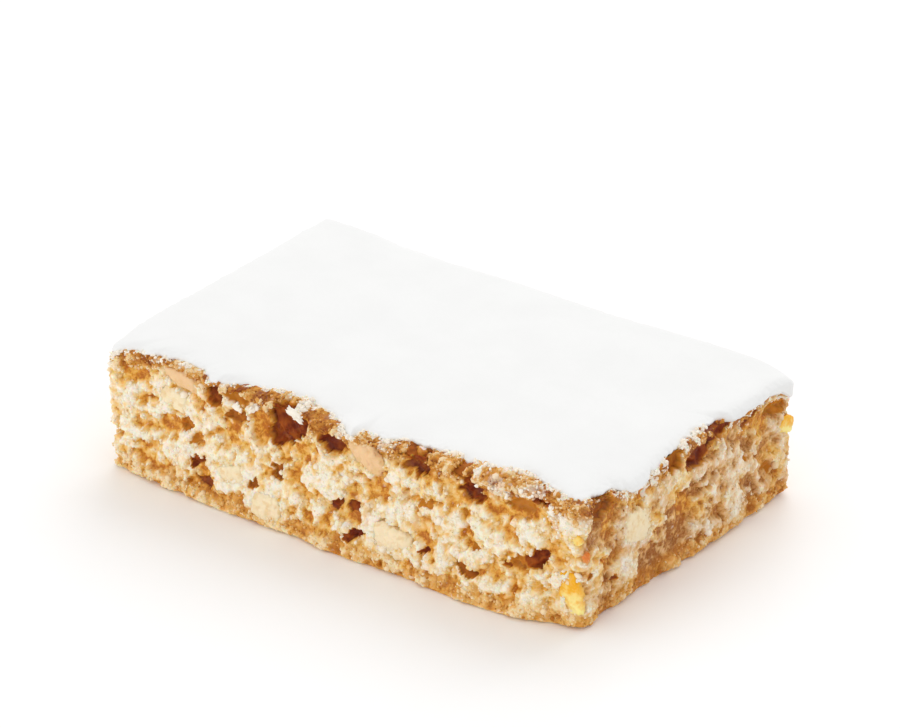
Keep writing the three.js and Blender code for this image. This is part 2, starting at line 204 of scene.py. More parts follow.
def cells(place, size, seed):
    """The nearest of one random point a cell: its distance in cell sizes, its own number and the point."""
    cell = np.floor(place / size)
    nearest = np.full(place.shape[:-1], np.inf)
    number = np.zeros(place.shape[:-1])
    closest = np.zeros(place.shape)
    for shift in NEIGHBOURS:
        there = cell + shift
        point = there + np.stack([hashed(there, seed + AXIS_SEED * n) for n in range(3)], -1)
        far = np.linalg.norm(place / size - point, axis=-1)
        closer = far < nearest
        nearest = np.where(closer, far, nearest)
        number = np.where(closer, hashed(there, seed + NUMBER_SEED), number)
        closest = np.where(closer[..., None], point * size, closest)
    return nearest, number, closest


def domes(place, size, seed, power=1.0):
    """Rounded lumps of unequal height: one less the squared distance to a scattered point, to a power."""
    nearest, number, _ = cells(place, size, seed)
    return np.maximum(0, 1 - nearest**2) ** power * (0.5 + 0.5 * number)


def rank(value):
    """Each value's place in the sorted order, from 0 to 1, so that a ramp covers known shares."""
    return np.searchsorted(np.sort(value.ravel()), value) / value.size


print("range of 2 mm noise along the rim:", np.ptp(noise(rim_place, 2.0, 1)).round(2))

# %% [markdown]
# ## Where the crumb opens
# The cut's crumb is not even. Bubbles of gas left pores, some deep and dark. Between them floury lumps stand
# out pale, while sunken places are soaked with honey and look amber. Noise alone could place them, but then
# none would be where the real cut has it. So each pore and each pale or amber patch has a place along and up
# its side, half sizes and a tilt. The two sides that face away follow a rule with the same mix.

# %% Pores by side: along, up, half width, half height, depth, tilt
PORES = {
    "front": [
        (-6.9, 11.2, 2.9, 1.25, 4.0, 33), (-7.7, 12.2, 1.5, 1.5, 4.0, 0),
        (-1.0, 11.5, 1.5, 0.75, 1.8, -20), (-16.3, 12.1, 1.1, 1.0, 1.6, 60),
        (-13.4, 10.8, 1.4, 0.6, 1.3, 15), (-13.4, 13.0, 1.6, 0.5, 0.9, -8),
        (-18.2, 4.5, 1.4, 0.45, 2.0, 15), (-17.4, 2.3, 1.0, 0.55, 1.6, -10),
        (-10.6, 4.4, 0.5, 0.5, 1.4, 0), (-18.5, 6.6, 0.7, 0.25, 0.9, 10), (-7.7, 6.5, 1.0, 0.65, 1.4, 30),
        (0.0, 5.3, 0.65, 0.35, 2.0, 15), (1.9, 5.3, 0.9, 0.55, 2.0, -5), (2.5, 2.7, 0.9, 0.5, 1.9, 30),
        (9.7, 12.3, 1.5, 1.1, 1.7, 0), (7.9, 13.0, 0.8, 0.4, 1.5, -20), (15.1, 13.3, 0.8, 0.6, 1.4, 0),
        (16.7, 11.7, 1.4, 1.1, 2.4, 0), (24.8, 12.8, 1.3, 0.45, 2.0, 12), (22.3, 11.7, 1.6, 0.7, 0.9, 12),
        (24.5, 6.6, 1.3, 0.65, 2.2, 20), (22.9, 5.9, 1.0, 0.6, 1.1, 30), (21.5, 5.3, 0.65, 0.4, 1.6, 0),
        (11.5, 3.6, 0.7, 0.3, 1.8, 10), (16.8, 3.3, 1.4, 0.45, 1.4, -10), (10.8, 8.4, 1.1, 0.25, 0.9, 8),
        (17.9, 6.1, 0.4, 0.25, 1.0, 0), (-20.0, 8.0, 0.8, 0.6, 1.1, 60), (-30.4, 4.6, 2.0, 0.7, 0.5, 0),
    ],
    "right": [
        (-14.7, 12.3, 1.6, 1.2, 1.4, 0), (-2.6, 12.6, 1.3, 1.2, 1.3, 60), (1.4, 11.7, 2.4, 0.8, 1.9, 10),
        (5.2, 12.8, 2.4, 0.6, 1.8, 0), (11.2, 11.8, 1.6, 0.5, 1.6, 10), (15.9, 11.0, 2.0, 0.8, 0.9, 0),
        (-13.1, 3.9, 0.6, 0.45, 1.7, 0), (-14.9, 4.1, 0.7, 0.35, 1.0, 0), (-17.3, 5.8, 0.3, 0.25, 1.4, 0),
        (-0.8, 8.3, 0.6, 0.5, 1.2, 0), (9.5, 7.7, 0.6, 0.3, 0.9, 0), (14.4, 4.5, 0.9, 0.5, 0.8, 0),
    ],
}

# %% Patches by side: along, up, half width, half height, tilt, push (pale above zero, amber below)
PATCHES = {
    "front": [
        (-26.5, 12.0, 1.8, 0.9, 0, -1.0), (-23.2, 7.4, 2.2, 0.5, 0, -0.5),
        (-26.0, 6.9, 2.2, 1.0, -20, -0.9), (-16.3, 8.3, 0.8, 0.6, 20, -0.9),
        (-13.6, 10.3, 1.8, 1.0, 35, -1.0), (-10.3, 11.0, 1.1, 2.2, 10, -1.2),
        (-12.6, 13.8, 2.6, 1.0, 0, -1.2), (-7.2, 8.6, 2.2, 0.9, 25, -0.9),
        (-1.0, 11.4, 2.6, 1.2, -20, -0.9), (-4.6, 8.2, 0.8, 1.1, 0, -0.8),
        (-19.1, 2.1, 9.0, 1.0, -2, -0.5), (-25.1, 2.6, 2.4, 0.8, -15, -0.8),
        (-28.8, 2.6, 1.6, 1.4, 0, 0.9), (3.4, 9.1, 2.0, 0.5, -8, -0.8), (9.4, 11.6, 2.0, 1.5, -10, -1.0),
        (13.2, 12.0, 2.2, 0.9, 0, -0.6), (16.4, 9.2, 0.8, 1.7, 0, -0.9), (22.6, 11.3, 2.7, 1.1, 20, -1.1),
        (13.4, 5.2, 1.3, 0.9, 20, -0.7), (19.9, 4.8, 0.8, 0.8, 0, -0.6), (1.7, 4.4, 1.6, 0.5, 0, -0.9),
        (3.6, 2.0, 4.5, 0.7, 0, -0.6), (17.7, 1.9, 5.5, 0.6, 0, -0.5), (-18.5, 8.8, 1.8, 1.5, 0, 0.9),
        (-14.7, 6.2, 3.6, 0.8, 12, 0.8), (-1.4, 7.1, 2.8, 1.3, 0, 0.9), (1.7, 9.9, 2.4, 0.7, -10, 1.0),
        (7.4, 9.4, 1.8, 1.2, 0, 0.5), (12.2, 8.0, 2.2, 0.8, 8, 1.0), (24.9, 9.5, 1.9, 1.3, 0, 0.9),
        (20.2, 7.2, 1.8, 1.1, 0, 0.9), (17.1, 4.9, 1.9, 1.3, 0, 0.9), (7.3, 6.7, 2.6, 0.8, 0, 0.7),
        (12.7, 2.8, 2.6, 0.9, 20, 0.8), (25.8, 3.8, 2.2, 1.8, 0, 0.7), (-8.4, 3.7, 2.6, 1.5, 0, 0.6),
        (-23.7, 5.1, 3.6, 0.9, 0, 0.7), (-28.6, 7.9, 2.0, 3.2, 0, 1.0), (7.3, 3.4, 3.6, 2.6, -8, 0.7),
        (-21.7, 10.4, 2.8, 2.0, -14, 0.7), (-13.5, 4.4, 2.8, 2.0, 20, 0.8), (-8.7, 2.1, 2.8, 2.2, 0, 0.6),
    ],
    "right": [
        (-4.4, 4.2, 5.2, 2.4, 30, -1.9), (-0.6, 7.6, 1.8, 1.2, 50, -1.6),
        (-14.4, 11.6, 2.2, 1.5, -30, -1.0), (-14.1, 9.4, 1.0, 1.0, 0, -0.9),
        (-16.0, 7.0, 1.4, 0.6, -20, -0.7), (-13.4, 6.4, 2.6, 3.6, 0, -0.5),
        (0.4, 11.6, 4.5, 1.1, -10, -0.9), (13.3, 11.2, 3.2, 1.2, -15, -0.8),
        (12.0, 7.4, 2.2, 0.6, 0, -0.7), (14.2, 4.0, 1.6, 1.2, 0, -0.5), (7.7, 7.8, 3.6, 1.5, -10, 0.9),
        (7.0, 5.6, 3.4, 2.6, -20, 0.5), (7.7, 3.8, 1.8, 1.8, -50, 1.0), (-15.0, 5.0, 2.0, 1.2, 0, 0.6),
        (-10.2, 4.2, 1.4, 2.0, -25, 0.7), (3.6, 9.6, 2.6, 0.8, -10, 0.7), (-9.3, 8.0, 3.0, 2.6, -10, 0.7),
    ],
}

# %% Ellipses on a side
# Each side's turn round the slab, and the distance of its plane from the middle.
SIDES = {
    "front": (0, WIDTH / 2),
    "right": (90, LENGTH / 2),
    "back": (180, WIDTH / 2),
    "left": (270, LENGTH / 2),
}


def side_frame(side):
    """A side's own axes: along it and out of it, and the distance of its plane from the middle."""
    turn, reach = SIDES[side]
    c, s = np.cos(np.radians(turn)), np.sin(np.radians(turn))
    return np.array([c, s, 0]), np.array([s, -c, 0]), reach


def ellipse(place, side, along, up, half_width, half_height, tilt, wrap=4.0):
    """1 at the middle of a tilted ellipse on a side, 0 at its edge and below 0 outside it.

    The wrap is how far it reaches off the side's plane.
    """
    run, out, reach = side_frame(side)
    across = place @ run - along
    rise = place[..., 2] - up
    c, s = np.cos(np.radians(tilt)), np.sin(np.radians(tilt))
    u = (across * c + rise * s) / half_width
    v = (rise * c - across * s) / half_height
    return 1 - u * u - v * v - ((place @ out - reach) / wrap) ** 2


def rows_of(table):
    """Rows of a table that is grouped by side, each with its side in front."""
    return [(side, *row) for side, rows in table.items() for row in rows]


print("pores that show:", len(rows_of(PORES)), "patches:", len(rows_of(PATCHES)))

# %% Pores of the two sides that face away
GOLDEN = 0.618
END_MARGIN, LOWEST, HEIGHTS = 5.0, 2.4, 9.4


def ruled_pores(side, span, count):
    """Even steps along the side. Golden shares give each pore's height, size and tilt. Most are small."""
    number = np.arange(count)
    share = (number + 1) * GOLDEN % 1
    along = ((number + share) / count - 0.5) * (span - END_MARGIN)
    size = 0.35 + 0.85 * (share * 7 % 1) ** 2
    up = LOWEST + HEIGHTS * (share * 3 % 1)
    rows = zip(along, up, 1.6 * size, 0.8 * size, 1.8 * size, 50 * share - 20)
    return [(side, *row) for row in rows]


ALL_PORES = rows_of(PORES) + ruled_pores("back", LENGTH, 19) + ruled_pores("left", WIDTH, 11)
print("pores on all sides:", len(ALL_PORES))

# %% [markdown]
# ## Where the nuts and the peel sit
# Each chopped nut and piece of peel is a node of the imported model, and sits half sunk in the cut. A boolean
# could cut its bed, but the dough's even grid would be lost. Rays from the chip's middle, spread evenly over
# a ball, find how far its skin lies in every direction. The dough sinks under each chip and closes round it,
# and the chip's own fine surface is made from the same distances later.

# %% Read the chips from the frame
CHIP_KINDS = ("almond", "kernel", "lemon_peel", "orange_peel")
RAYS = 800
step = np.arange(RAYS) + 0.5
rise = 1 - 2 * step / RAYS
turn = np.pi * (1 + 5**0.5) * step
WAYS = np.stack([np.sqrt(1 - rise**2) * np.cos(turn), np.sqrt(1 - rise**2) * np.sin(turn), rise], -1)


def chip_form(name):
    """Middle of a node, and the distance of its skin along each ray.

    A ray is written as a sum of a triangle's three corners. It meets the triangle where all three shares are
    above zero, at one over their sum.
    """
    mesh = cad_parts[name].data
    mesh.calc_loop_triangles()
    points = np.empty(len(mesh.vertices) * 3)
    mesh.vertices.foreach_get("co", points)
    trios = np.empty(len(mesh.loop_triangles) * 3, int)
    mesh.loop_triangles.foreach_get("vertices", trios)
    points = points.reshape(-1, 3) / MM
    middle = (points.min(0) + points.max(0)) / 2
    corners = points[trios.reshape(-1, 3)] - middle
    corner_shares = np.einsum("rc,tci->rti", WAYS, np.linalg.inv(corners))
    meets = (corner_shares > -1e-6).all(-1)
    return middle, (meets / np.where(meets, corner_shares.sum(-1), 1)).max(1)


CHIPS = {name: chip_form(name) for name in sorted(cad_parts) if name.startswith(CHIP_KINDS)}
print("chips, mm:", {name: round(2 * reach.max(), 1) for name, (_, reach) in CHIPS.items()})
SHARPNESS = 120.0
LEAST_LAP, RIM_SOFT = 0.02, 0.35
NEARBY = 1.6


def chip_reach(directions, name):
    """A chip's radius in any direction: the mean of the rays' distances, weighted to the nearest rays."""
    weight = np.exp(SHARPNESS * (directions @ WAYS.T - 1))
    return (weight * CHIPS[name][1]).sum(-1) / weight.sum(-1)


def under_chip(place):
    """1 inside a chip and 0 outside it. Noise moves the edge, so that crumbs lap over the chip's rim."""
    inside = np.zeros(place.shape[:-1])
    lap = np.maximum(0.45 * noise(place, 0.9, 45) + 0.25 * noise(place, 0.4, 47), LEAST_LAP)
    for name, (middle, reach) in CHIPS.items():
        away = place - middle
        far = np.linalg.norm(away, axis=-1)
        close = far < NEARBY * reach.max()
        gap = far[close] - chip_reach(away[close] / far[close][:, None], name)
        inside[close] = np.maximum(inside[close], smooth(0.0, -RIM_SOFT, gap + lap[close]))
    return inside


# %% [markdown]
# ## How far the icing comes
# The icing was brushed on as thin sugar syrup before the sheet was cut, so its edge broke with the cut. It
# stops a little short of the cut, ragged and powdery, with a few lobes that reach down to it. A drawn curve
# could give the edge, but it would have to be measured again by every piece near it. One number for each
# column, the distance from a line on the flat top to the icing's edge, serves the icing, the dusting of sugar
# below it and the loose white grains.

# %% Icing edge: places along each side and how far inside the cut it stops (below zero it hangs over)
FLAT = 6.5
SETBACKS = {
    "front": [(-29.5, 0.1), (-28.2, 0.7), (-26, 0.3), (-23.5, 1.1), (-20, 1.0), (-17, 0.0), (-15.5, 1.1)]
    + [(-13, 2.1), (-8, 3.0), (-5.7, 2.5), (-2.2, 1.9), (0.5, -0.1), (1.6, 1.6), (4, 1.8), (6.2, 2.7)]
    + [(12.4, 2.6), (14.6, 1.5), (19, 1.6), (22.4, 2.9), (24, 2.8), (26.2, 1.8), (28.5, 1.4)],
    "right": [(-17, 1.2), (-14, 1.2), (-11.3, -0.3), (-9.5, -0.5), (-7, 0.2), (-4.7, 0.4), (0, 0.8), (5, 1.0)]
    + [(6.5, -0.3), (8.5, -0.4), (11, -0.3), (13, -0.4), (14.9, -0.7), (17.2, -1.6), (18.4, -2.2)],
    "back": [(-28.5, -1.6), (-26, -0.6), (-22, -0.3), (-12, -0.2), (0, -0.3), (12, -0.2), (24, -0.3)],
    "left": [(-14, -0.2), (-5, -0.3), (5, -0.2), (14, -0.2), (17.5, -0.1)],
}
AROUND = 2 * (LENGTH + WIDTH)
setback_at, setback = [], []
start = 0.0
for places, span in zip(SETBACKS.values(), [LENGTH, WIDTH, LENGTH, WIDTH]):
    setback_at += [start + span / 2 + along for along, _ in places]
    setback += [amount for _, amount in places]
    start += span
print("places on the icing's edge:", len(setback))

# %% Icing edge round the outline
column_width = np.hypot(edge_x - np.roll(edge_x, 1), edge_y - np.roll(edge_y, 1))
walked = np.cumsum(column_width)
walked = (walked - walked[0]) / walked[-1] * AROUND
ragged = 0.3 * fractal(rim_place, 2.2, 81, 2) + 0.2 * fractal(rim_place, 0.9, 83, 2)
stands_back = np.interp(walked, setback_at, setback, period=AROUND)
smooth_arc = FLAT - stands_back
edge_arc = smooth_arc + ragged
print("icing edge inside the cut, mm:", np.round([FLAT - edge_arc.max(), FLAT - edge_arc.min()], 2))

# %% [markdown]
# ## The dough
# The cut sides are torn crumb. A scan of a real cut would give its crags, and sculpting could copy them, but
# a formula keeps the mesh even and small. The surface is one grid: columns run round the outline, and rows
# run from the middle of the base, up the wall and over the shoulder to the middle of the top. The relief is
# worked out for every grid point and pushes it outwards.

# %% Rows of the grid before relief
BASE_SHARES = [0.35, 0.7, 0.9]
EDGE_INSETS = [(0.9, 0.0), (0.5, 0.08), (0.2, 0.28), (0.05, 0.5)]
WALL_FOOT = 0.72
WALL_ROWS = 80
SHOULDER_INSETS = [0.1, 0.25, 0.4, 0.56, 0.74, 0.94, 1.16, 1.4, 1.66, 1.94, 2.25, 2.6, 3.0, 3.5, 4.1, 4.8]
TOP_SHARES = [0.7, 0.35]

wall_top = top_height(edge_x, edge_y) - SHOULDER_DROP
edge_rows = [level_row(inset, z) for inset, z in EDGE_INSETS]
wall_rows = [level_row(0, WALL_FOOT + (wall_top - WALL_FOOT) * s) for s in np.linspace(0, 1, WALL_ROWS)]
shoulder_rows = [top_row(inset) for inset in SHOULDER_INSETS]
torn = np.stack(edge_rows + wall_rows + shoulder_rows)

turn_in = np.minimum(0.3 + 1.2 * np.array(SHOULDER_INSETS), 1.5)
lean = np.concatenate([np.zeros(len(edge_rows) + WALL_ROWS), turn_in])[:, None]
push = np.stack([np.cos(lean) * out_x, np.cos(lean) * out_y, np.sin(lean) + 0 * out_x], -1)
arc = FLAT + wall_top - torn[..., 2]
arc[-len(shoulder_rows) :] = FLAT - np.array(SHOULDER_INSETS)[:, None]
beyond = arc - edge_arc
print("rows with relief:", len(torn))

# %% [markdown]
# ### Lumps, crusts and pores
# The dough tore round clots of flour and ground nut. Domes round scattered points are such lumps, of about
# two and a half, one and half a millimetre. Slow noise and the placed patches say where the crumb stands out
# and where it is sunken, and the height above the base and below the top gives the two crusts. A smooth
# ellipse would look drilled, so each pore takes in whole cells of the crumb, which gives it a torn, angular
# outline.

# %% Levels, crusts and lumps of three sizes
CLOD, LUMP, GRANULE = 2.4, 1.1, 0.46
TOP_CRUST, BASE_CRUST = (2.2, 0.5), (2.7, 1.1)
RIGHT_END = (29.0, 29.6)
RAISED, HONEYED = (-0.4, 0.3), (-0.8, -1.5)
PATCH_LIFT = 0.5
warped = torn + 0.45 * noise_vector(torn, 0.9, 11) + 0.15 * noise_vector(torn, 0.36, 21)
patch = np.zeros(torn.shape[:-1])
for *spot, amount in rows_of(PATCHES):
    patch += amount * smooth(-0.6, 0.6, ellipse(warped, *spot))

below_top = top_height(torn[..., 0], torn[..., 1]) - torn[..., 2]
top_crust = smooth(*TOP_CRUST, below_top + 0.9 * noise(warped, 2.2, 31))
base_crust = smooth(*BASE_CRUST, torn[..., 2] + 0.8 * noise(warped, 2.6, 33))
right_end = smooth(*RIGHT_END, torn[..., 0])
level = fractal(warped, 3.1, 41) + PATCH_LIFT * patch
raised = smooth(*RAISED, level)
honeyed = smooth(*HONEYED, patch)
clods = domes(warped, CLOD, 51)
lumps = domes(warped, LUMP, 53)
granules = domes(torn + 0.1 * noise_vector(torn, 0.3, 57), GRANULE, 55, 0.6)
print("share raised above the middle:", (raised > 0.5).mean().round(2))

# %% Pores
CRUMB_CELL, JAGGED = 0.7, 0.75
WIDER, TALLER = 1.15, 1.2
DEEPEST, PORE_SHADE_DEPTH = 0.8, 2.0
swayed = torn + 0.4 * noise_vector(torn, 1.3, 25)
_, _, cell_middle = cells(swayed, CRUMB_CELL, 61)
jagged = JAGGED * cell_middle + (1 - JAGGED) * swayed
hollow = np.zeros(torn.shape[:-1])
pit = np.zeros(torn.shape[:-1])
# Pore value: painted shade and the honey's red-brown, dark by the full depth, though the pit is shallower.
for side, along, up, half_width, half_height, depth, slant in ALL_PORES:
    inside = ellipse(jagged, side, along, up, half_width * WIDER, half_height * TALLER, slant)
    pit = np.maximum(pit, min(depth, DEEPEST * half_height) * smooth(-0.1, 0.4, inside))
    hollow = np.maximum(hollow, min(depth / PORE_SHADE_DEPTH, 1) * smooth(-0.05, 0.2, inside))
print("share of the cut in pores:", (hollow > 0.5).mean().round(3))

# %% [markdown]
# ### Relief
# A displacement modifier could push the mesh, but it knows one direction and one texture. Here each point
# has its own direction, outwards on the wall and upwards on the top. The relief is a sum: the body that
# stands out or is sunken, lumps that are lower on the crusts, granules everywhere, less the pits of the
# pores. It fades under the icing and at the flat base, and the dough sinks where a chip lies.

# %% Push the grid out
OUTWARD, SINK, CREST = 0.1, 0.8, 0.35
BODY_HEIGHT, CLOD_HEIGHT, LUMP_HEIGHT, GRANULE_HEIGHT = 0.45, 0.25, 0.17, 0.24
LEVEL_HEIGHT, BODY_ZERO, MEAN_ROUGH = 0.1, 0.7, 0.32
# Shares by which the relief is flatter on the crusts, the right end, honey, pores and beds.
BODY_CALM, CRUST_CALM, RIGHT_CALM, HONEY_CALM, PORE_CALM, BED_CALM = 0.5, 0.6, 0.25, 0.3, 0.35, 0.8
HONEY_SUNK = 0.15
EDGE_FADE = [0.0, 0.35, 0.7, 0.9]
bare = smooth(-0.35, 0.1, beyond)
swell = (cut_swell(*np.moveaxis(torn, -1, 0)) + OUTWARD) * bare
smooth_face = torn + push * swell[..., None]
bed = under_chip(smooth_face)
hollow *= 1 - bed
pit *= 1 - bed
body = BODY_HEIGHT * (raised - BODY_ZERO) * (1 - BODY_CALM * top_crust) + LEVEL_HEIGHT * level
lumpy = (CLOD_HEIGHT * clods + LUMP_HEIGHT * lumps) * (0.4 + 0.6 * raised) * (1 - RIGHT_CALM * right_end)
lumpy *= 1 - CRUST_CALM * np.maximum(top_crust, base_crust)
rough = lumpy + GRANULE_HEIGHT * granules - MEAN_ROUGH
rough = rough * (1 - HONEY_CALM * honeyed) * (1 - PORE_CALM * hollow) - HONEY_SUNK * honeyed
relief = (body + rough) * (1 - BED_CALM * bed) - pit
crest = CREST * smooth(FLAT + 0.6, FLAT - 0.3, arc) * smooth(0.6, 1.3, stands_back)
fade = np.concatenate([EDGE_FADE, np.ones(WALL_ROWS + len(shoulder_rows))])[:, None] * bare
sideways = 0.12 * noise_vector(torn, 0.8, 63) + 0.05 * noise_vector(torn, 0.3, 67)
crumb_face = smooth_face + push * ((relief + crest) * fade)[..., None]
crumb_face += sideways * fade[..., None] * [1, 1, 0.8]
torn_out = crumb_face - push * (SINK * bed * fade)[..., None]
torn_out[..., 2] = np.maximum(torn_out[..., 2], 0.0)
print("relief mm:", relief.min().round(2), "to", relief.max().round(2), "mean", relief.mean().round(2))

# %% [markdown]
# ### From arrays to a mesh
# Every piece of this lesson is a stack of rings or a heap of small balls. Two helpers serve them all: one
# joins rings by quads and closes both ends by a fan, so that no hole is left, and one puts whole arrays into
# a mesh at once, which is far quicker than adding faces one by one.

# %% A grid that is closed at both ends
def closed_grid(rows):
    """Faces of a grid of rings: quads between rings, and a fan from each end ring to a middle point."""
    count, columns = rows.shape[:2]
    index = np.arange(count * columns).reshape(count, columns)
    right = np.roll(index, -1, axis=1)
    quads = np.stack([index[:-1], right[:-1], right[1:], index[1:]], -1).reshape(-1, 4)
    low, high = count * columns, count * columns + 1
    low_fan = np.stack([np.full(columns, low), right[0], index[0]], -1)
    high_fan = np.stack([np.full(columns, high), index[-1], right[-1]], -1)
    points = np.concatenate([rows.reshape(-1, 3), rows[0].mean(0)[None], rows[-1].mean(0)[None]])
    return points, quads, np.concatenate([low_fan, high_fan])


NO_QUADS = np.empty((0, 4), int)
NO_TRIANGLES = np.empty((0, 3), int)


def make_piece(name, points, quads, triangles, values=None):
    """A mesh object from whole arrays, in metres, smooth, with one float attribute for each value array."""
    mesh = bpy.data.meshes.new(name)
    mesh.vertices.add(len(points))
    mesh.vertices.foreach_set("co", (points * MM).ravel())
    corners = np.concatenate([quads.ravel(), triangles.ravel()])
    sizes = np.concatenate([np.full(len(quads), 4), np.full(len(triangles), 3)])
    mesh.loops.add(len(corners))
    mesh.loops.foreach_set("vertex_index", corners)
    mesh.polygons.add(len(sizes))
    mesh.polygons.foreach_set("loop_start", np.cumsum(sizes) - sizes)
    mesh.polygons.foreach_set("use_smooth", np.ones(len(sizes), bool))
    for label, value in (values or {}).items():
        mesh.attributes.new(label, "FLOAT", "POINT").data.foreach_set("value", value.astype(np.float32))
    mesh.update(calc_edges=True)
    mesh.validate()
    piece = bpy.data.objects.new(name, mesh)
    bpy.context.scene.collection.objects.link(piece)
    print(name, "triangles:", 2 * len(quads) + len(triangles))
    return piece


# %% [markdown]
# ### Sugar that fell on the cut
# When the icing broke with the cut, a few flakes and some dust of it fell on the crumb below the edge. The
# dust is too fine for a mesh and becomes a colour. Each flake or dusty place is an ellipse like a pore's,
# with a crumpled edge.

# %% Flakes and dusty places by side: along, up, half width, half height, tilt
FLAKES = {
    "front": [
        (-5.7, 13.4, 1.25, 0.4, -28), (-11.2, 12.4, 0.7, 0.35, 25), (-13.3, 11.9, 0.6, 0.35, -10),
        (27.5, 11.9, 0.5, 0.4, 0), (26.0, 12.2, 0.3, 0.6, -20),
    ],
}
DUSTINGS = {
    "front": [
        (0.4, 12.7, 0.8, 0.9, 0), (19.6, 12.9, 2.0, 0.8, 0), (23.8, 13.4, 1.6, 0.5, 0),
        (27.0, 11.2, 1.8, 1.2, 0), (5.4, 13.2, 1.0, 0.5, 0),
    ],
    "right": [
        (-15.2, 13.0, 0.7, 0.4, -30), (-9.6, 12.3, 2.6, 0.6, 0), (9.9, 11.3, 1.1, 0.6, 0),
        (5.6, 10.6, 0.6, 1.2, 0),
    ],
}
crumpled = torn + 0.35 * noise_vector(torn, 0.6, 77) + 0.2 * noise_vector(torn, 0.3, 79)
flake = np.max([smooth(0.0, 0.25, ellipse(crumpled, *spot)) for spot in rows_of(FLAKES)], axis=0)
dusting = np.max([smooth(-0.6, 0.8, ellipse(crumpled, *spot)) for spot in rows_of(DUSTINGS)], axis=0)
speckle = fractal(torn, 0.8, 73, 3)
dusted = smooth(-0.3, 0.2, noise(torn, 4.0, 75))
dust = smooth(0.1, 0.35, speckle + 0.2 + 0.4 * dusted - 0.75 * np.abs(beyond))
dust = np.maximum(dust, 0.5 * smooth(0.4, 0.9, dusting + speckle))
print("share of the cut under dust:", (dust > 0.5).mean().round(3))

# %% [markdown]
# ### What decides the colour
# On the real cut the colour follows the shape: what stands out is dry, floury and pale, and what is sunken is
# soaked with honey. Part of it is painted shade: a crevice between lumps or granules is darker than what is
# round it. A painted image could say so, but it would need a map and a file. Six numbers at each point of the
# mesh say it instead, and the material turns them to colour. The right end is calmer than the front and is
# painted darker, as shade for the end that gets less light, and the middle of a wall is paler than its top
# and foot.

# %% Values for the colour
BELT_LOW, BELT_HIGH, BELT_PALER = (3.0, 5.5), (9.5, 7.5), 0.3
# The right end's darker colour is painted shade, for the end that gets less light; its rosier tone is its own.
RIGHT_EVENER, RIGHT_END_SHADE, RIGHT_ROSIER = 0.2, 1.15, 0.9
# Half widths of the windows that tell a clod and a granule from what is round it, in grid points.
CLOD_WINDOW, GRANULE_WINDOW = (10, 7), (2, 2)


def blurred(value, columns, rows):
    """Mean over a window of grid points, which wraps round the outline and stops at the end rows."""
    wide = sum(np.roll(value, n, axis=1) for n in range(-columns, columns + 1)) / (2 * columns + 1)
    padded = np.pad(wide, ((rows, rows), (0, 0)), mode="edge")
    return sum(padded[n : n + len(value)] for n in range(2 * rows + 1)) / (2 * rows + 1)


def spread(value):
    """A value measured from its mean, in standard deviations."""
    return (value - value.mean()) / value.std()


# What stands out is pale and a crevice dark against what is round it: the lumps' own colour, and painted
# shade.
unpitted = relief + pit
raised_and_crevice_shade = 0.5 * spread(unpitted - blurred(unpitted, *CLOD_WINDOW))
raised_and_crevice_shade += 0.6 * spread(unpitted - blurred(unpitted, *GRANULE_WINDOW))
placed = 0.8 * spread(level) + 0.35 * blurred(patch, 6, 4)
mottled = 0.9 * spread(fractal(torn, 1.1, 43, 3, 0.7))
belt = smooth(*BELT_LOW, torn[..., 2]) * smooth(*BELT_HIGH, torn[..., 2])
pale = blurred(placed + raised_and_crevice_shade, 1, 1) + mottled + BELT_PALER * belt
pale = pale * (1 - RIGHT_EVENER * right_end) - RIGHT_END_SHADE * right_end
# On honey, granule tops are lighter and the gaps between them darker, as painted shade, over noise streaks.
streaks_and_granule_shade = spread(fractal(torn, 0.9, 49, 3, 0.8)) + 0.6 * spread(granules)
pale = np.clip(rank(pale) + honeyed * (0.13 * streaks_and_granule_shade - 0.02), 0, 1)
tone = rank(fractal(torn, 5.0, 71, 3) + RIGHT_ROSIER * right_end)
# Each value on the torn rows, and what it is on the plain base and top.
VALUES = {
    "pale": (pale, 0.5),
    "hollow": (hollow, 0.0),
    "top_crust": (top_crust, 1.0),
    "base_crust": (base_crust, 1.0),
    "tone": (tone, 0.5),
    "dust": (np.maximum(dust, flake), 0.0),
}
print("mean of each value:", {label: value.mean().round(2) for label, (value, _) in VALUES.items()})

# %% Make the dough
base_rows = np.stack([level_row(*EDGE_INSETS[0]) * [share, share, 1] for share in BASE_SHARES])
top_rows = np.stack([top_row(SHOULDER_INSETS[-1]) * [share, share, 1] for share in TOP_SHARES])
top_rows[..., 2] = top_height(top_rows[..., 0], top_rows[..., 1])
dough_rows = np.concatenate([base_rows, torn_out, top_rows])


def over_dough(value, plain):
    """A value known on the torn rows, spread to every point of the dough's grid."""
    full = np.full(dough_rows.shape[:2], plain)
    full[len(base_rows) : len(base_rows) + len(torn)] = value
    return np.concatenate([full.ravel(), [plain, plain]])


dough_values = {label: over_dough(*value) for label, value in VALUES.items()}
dough = make_piece("dough_crumb", *closed_grid(dough_rows), dough_values)
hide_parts("dough")
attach(dough, "root")

# %% [markdown]
# ## Loose grains
# Flour, ground almond and sugar crumble to grains of a tenth to nearly one millimetre that stick to the cut.
# They make it look dry and soft. A particle system could strew them, but the export wants plain meshes, so
# each grain is a dented ball of twenty faces, turned at random, and all grains of a kind are one mesh. A
# grain takes the colour values of the dough below it. Larger and fine crumbs sit mostly on pale dough, and
# others along both crusts.

# %% A dented ball of twenty faces
ratio = (1 + 5**0.5) / 2
quarter = np.array([(0, a, b * ratio) for a in (-1, 1) for b in (-1, 1)])
BALL = np.concatenate([np.roll(quarter, n, axis=1) for n in range(3)])
trios = np.array(list(combinations(range(len(BALL)), 3)))
edges = np.linalg.norm(BALL[trios] - BALL[np.roll(trios, 1, axis=1)], axis=-1)
trios = trios[(edges < 2.1).all(1)]
flip = np.linalg.det(BALL[trios]) < 0
trios[flip] = trios[flip][:, ::-1]
BALL = BALL / np.linalg.norm(BALL[0])
CORNERS = len(BALL)
print("faces of a grain:", len(trios))


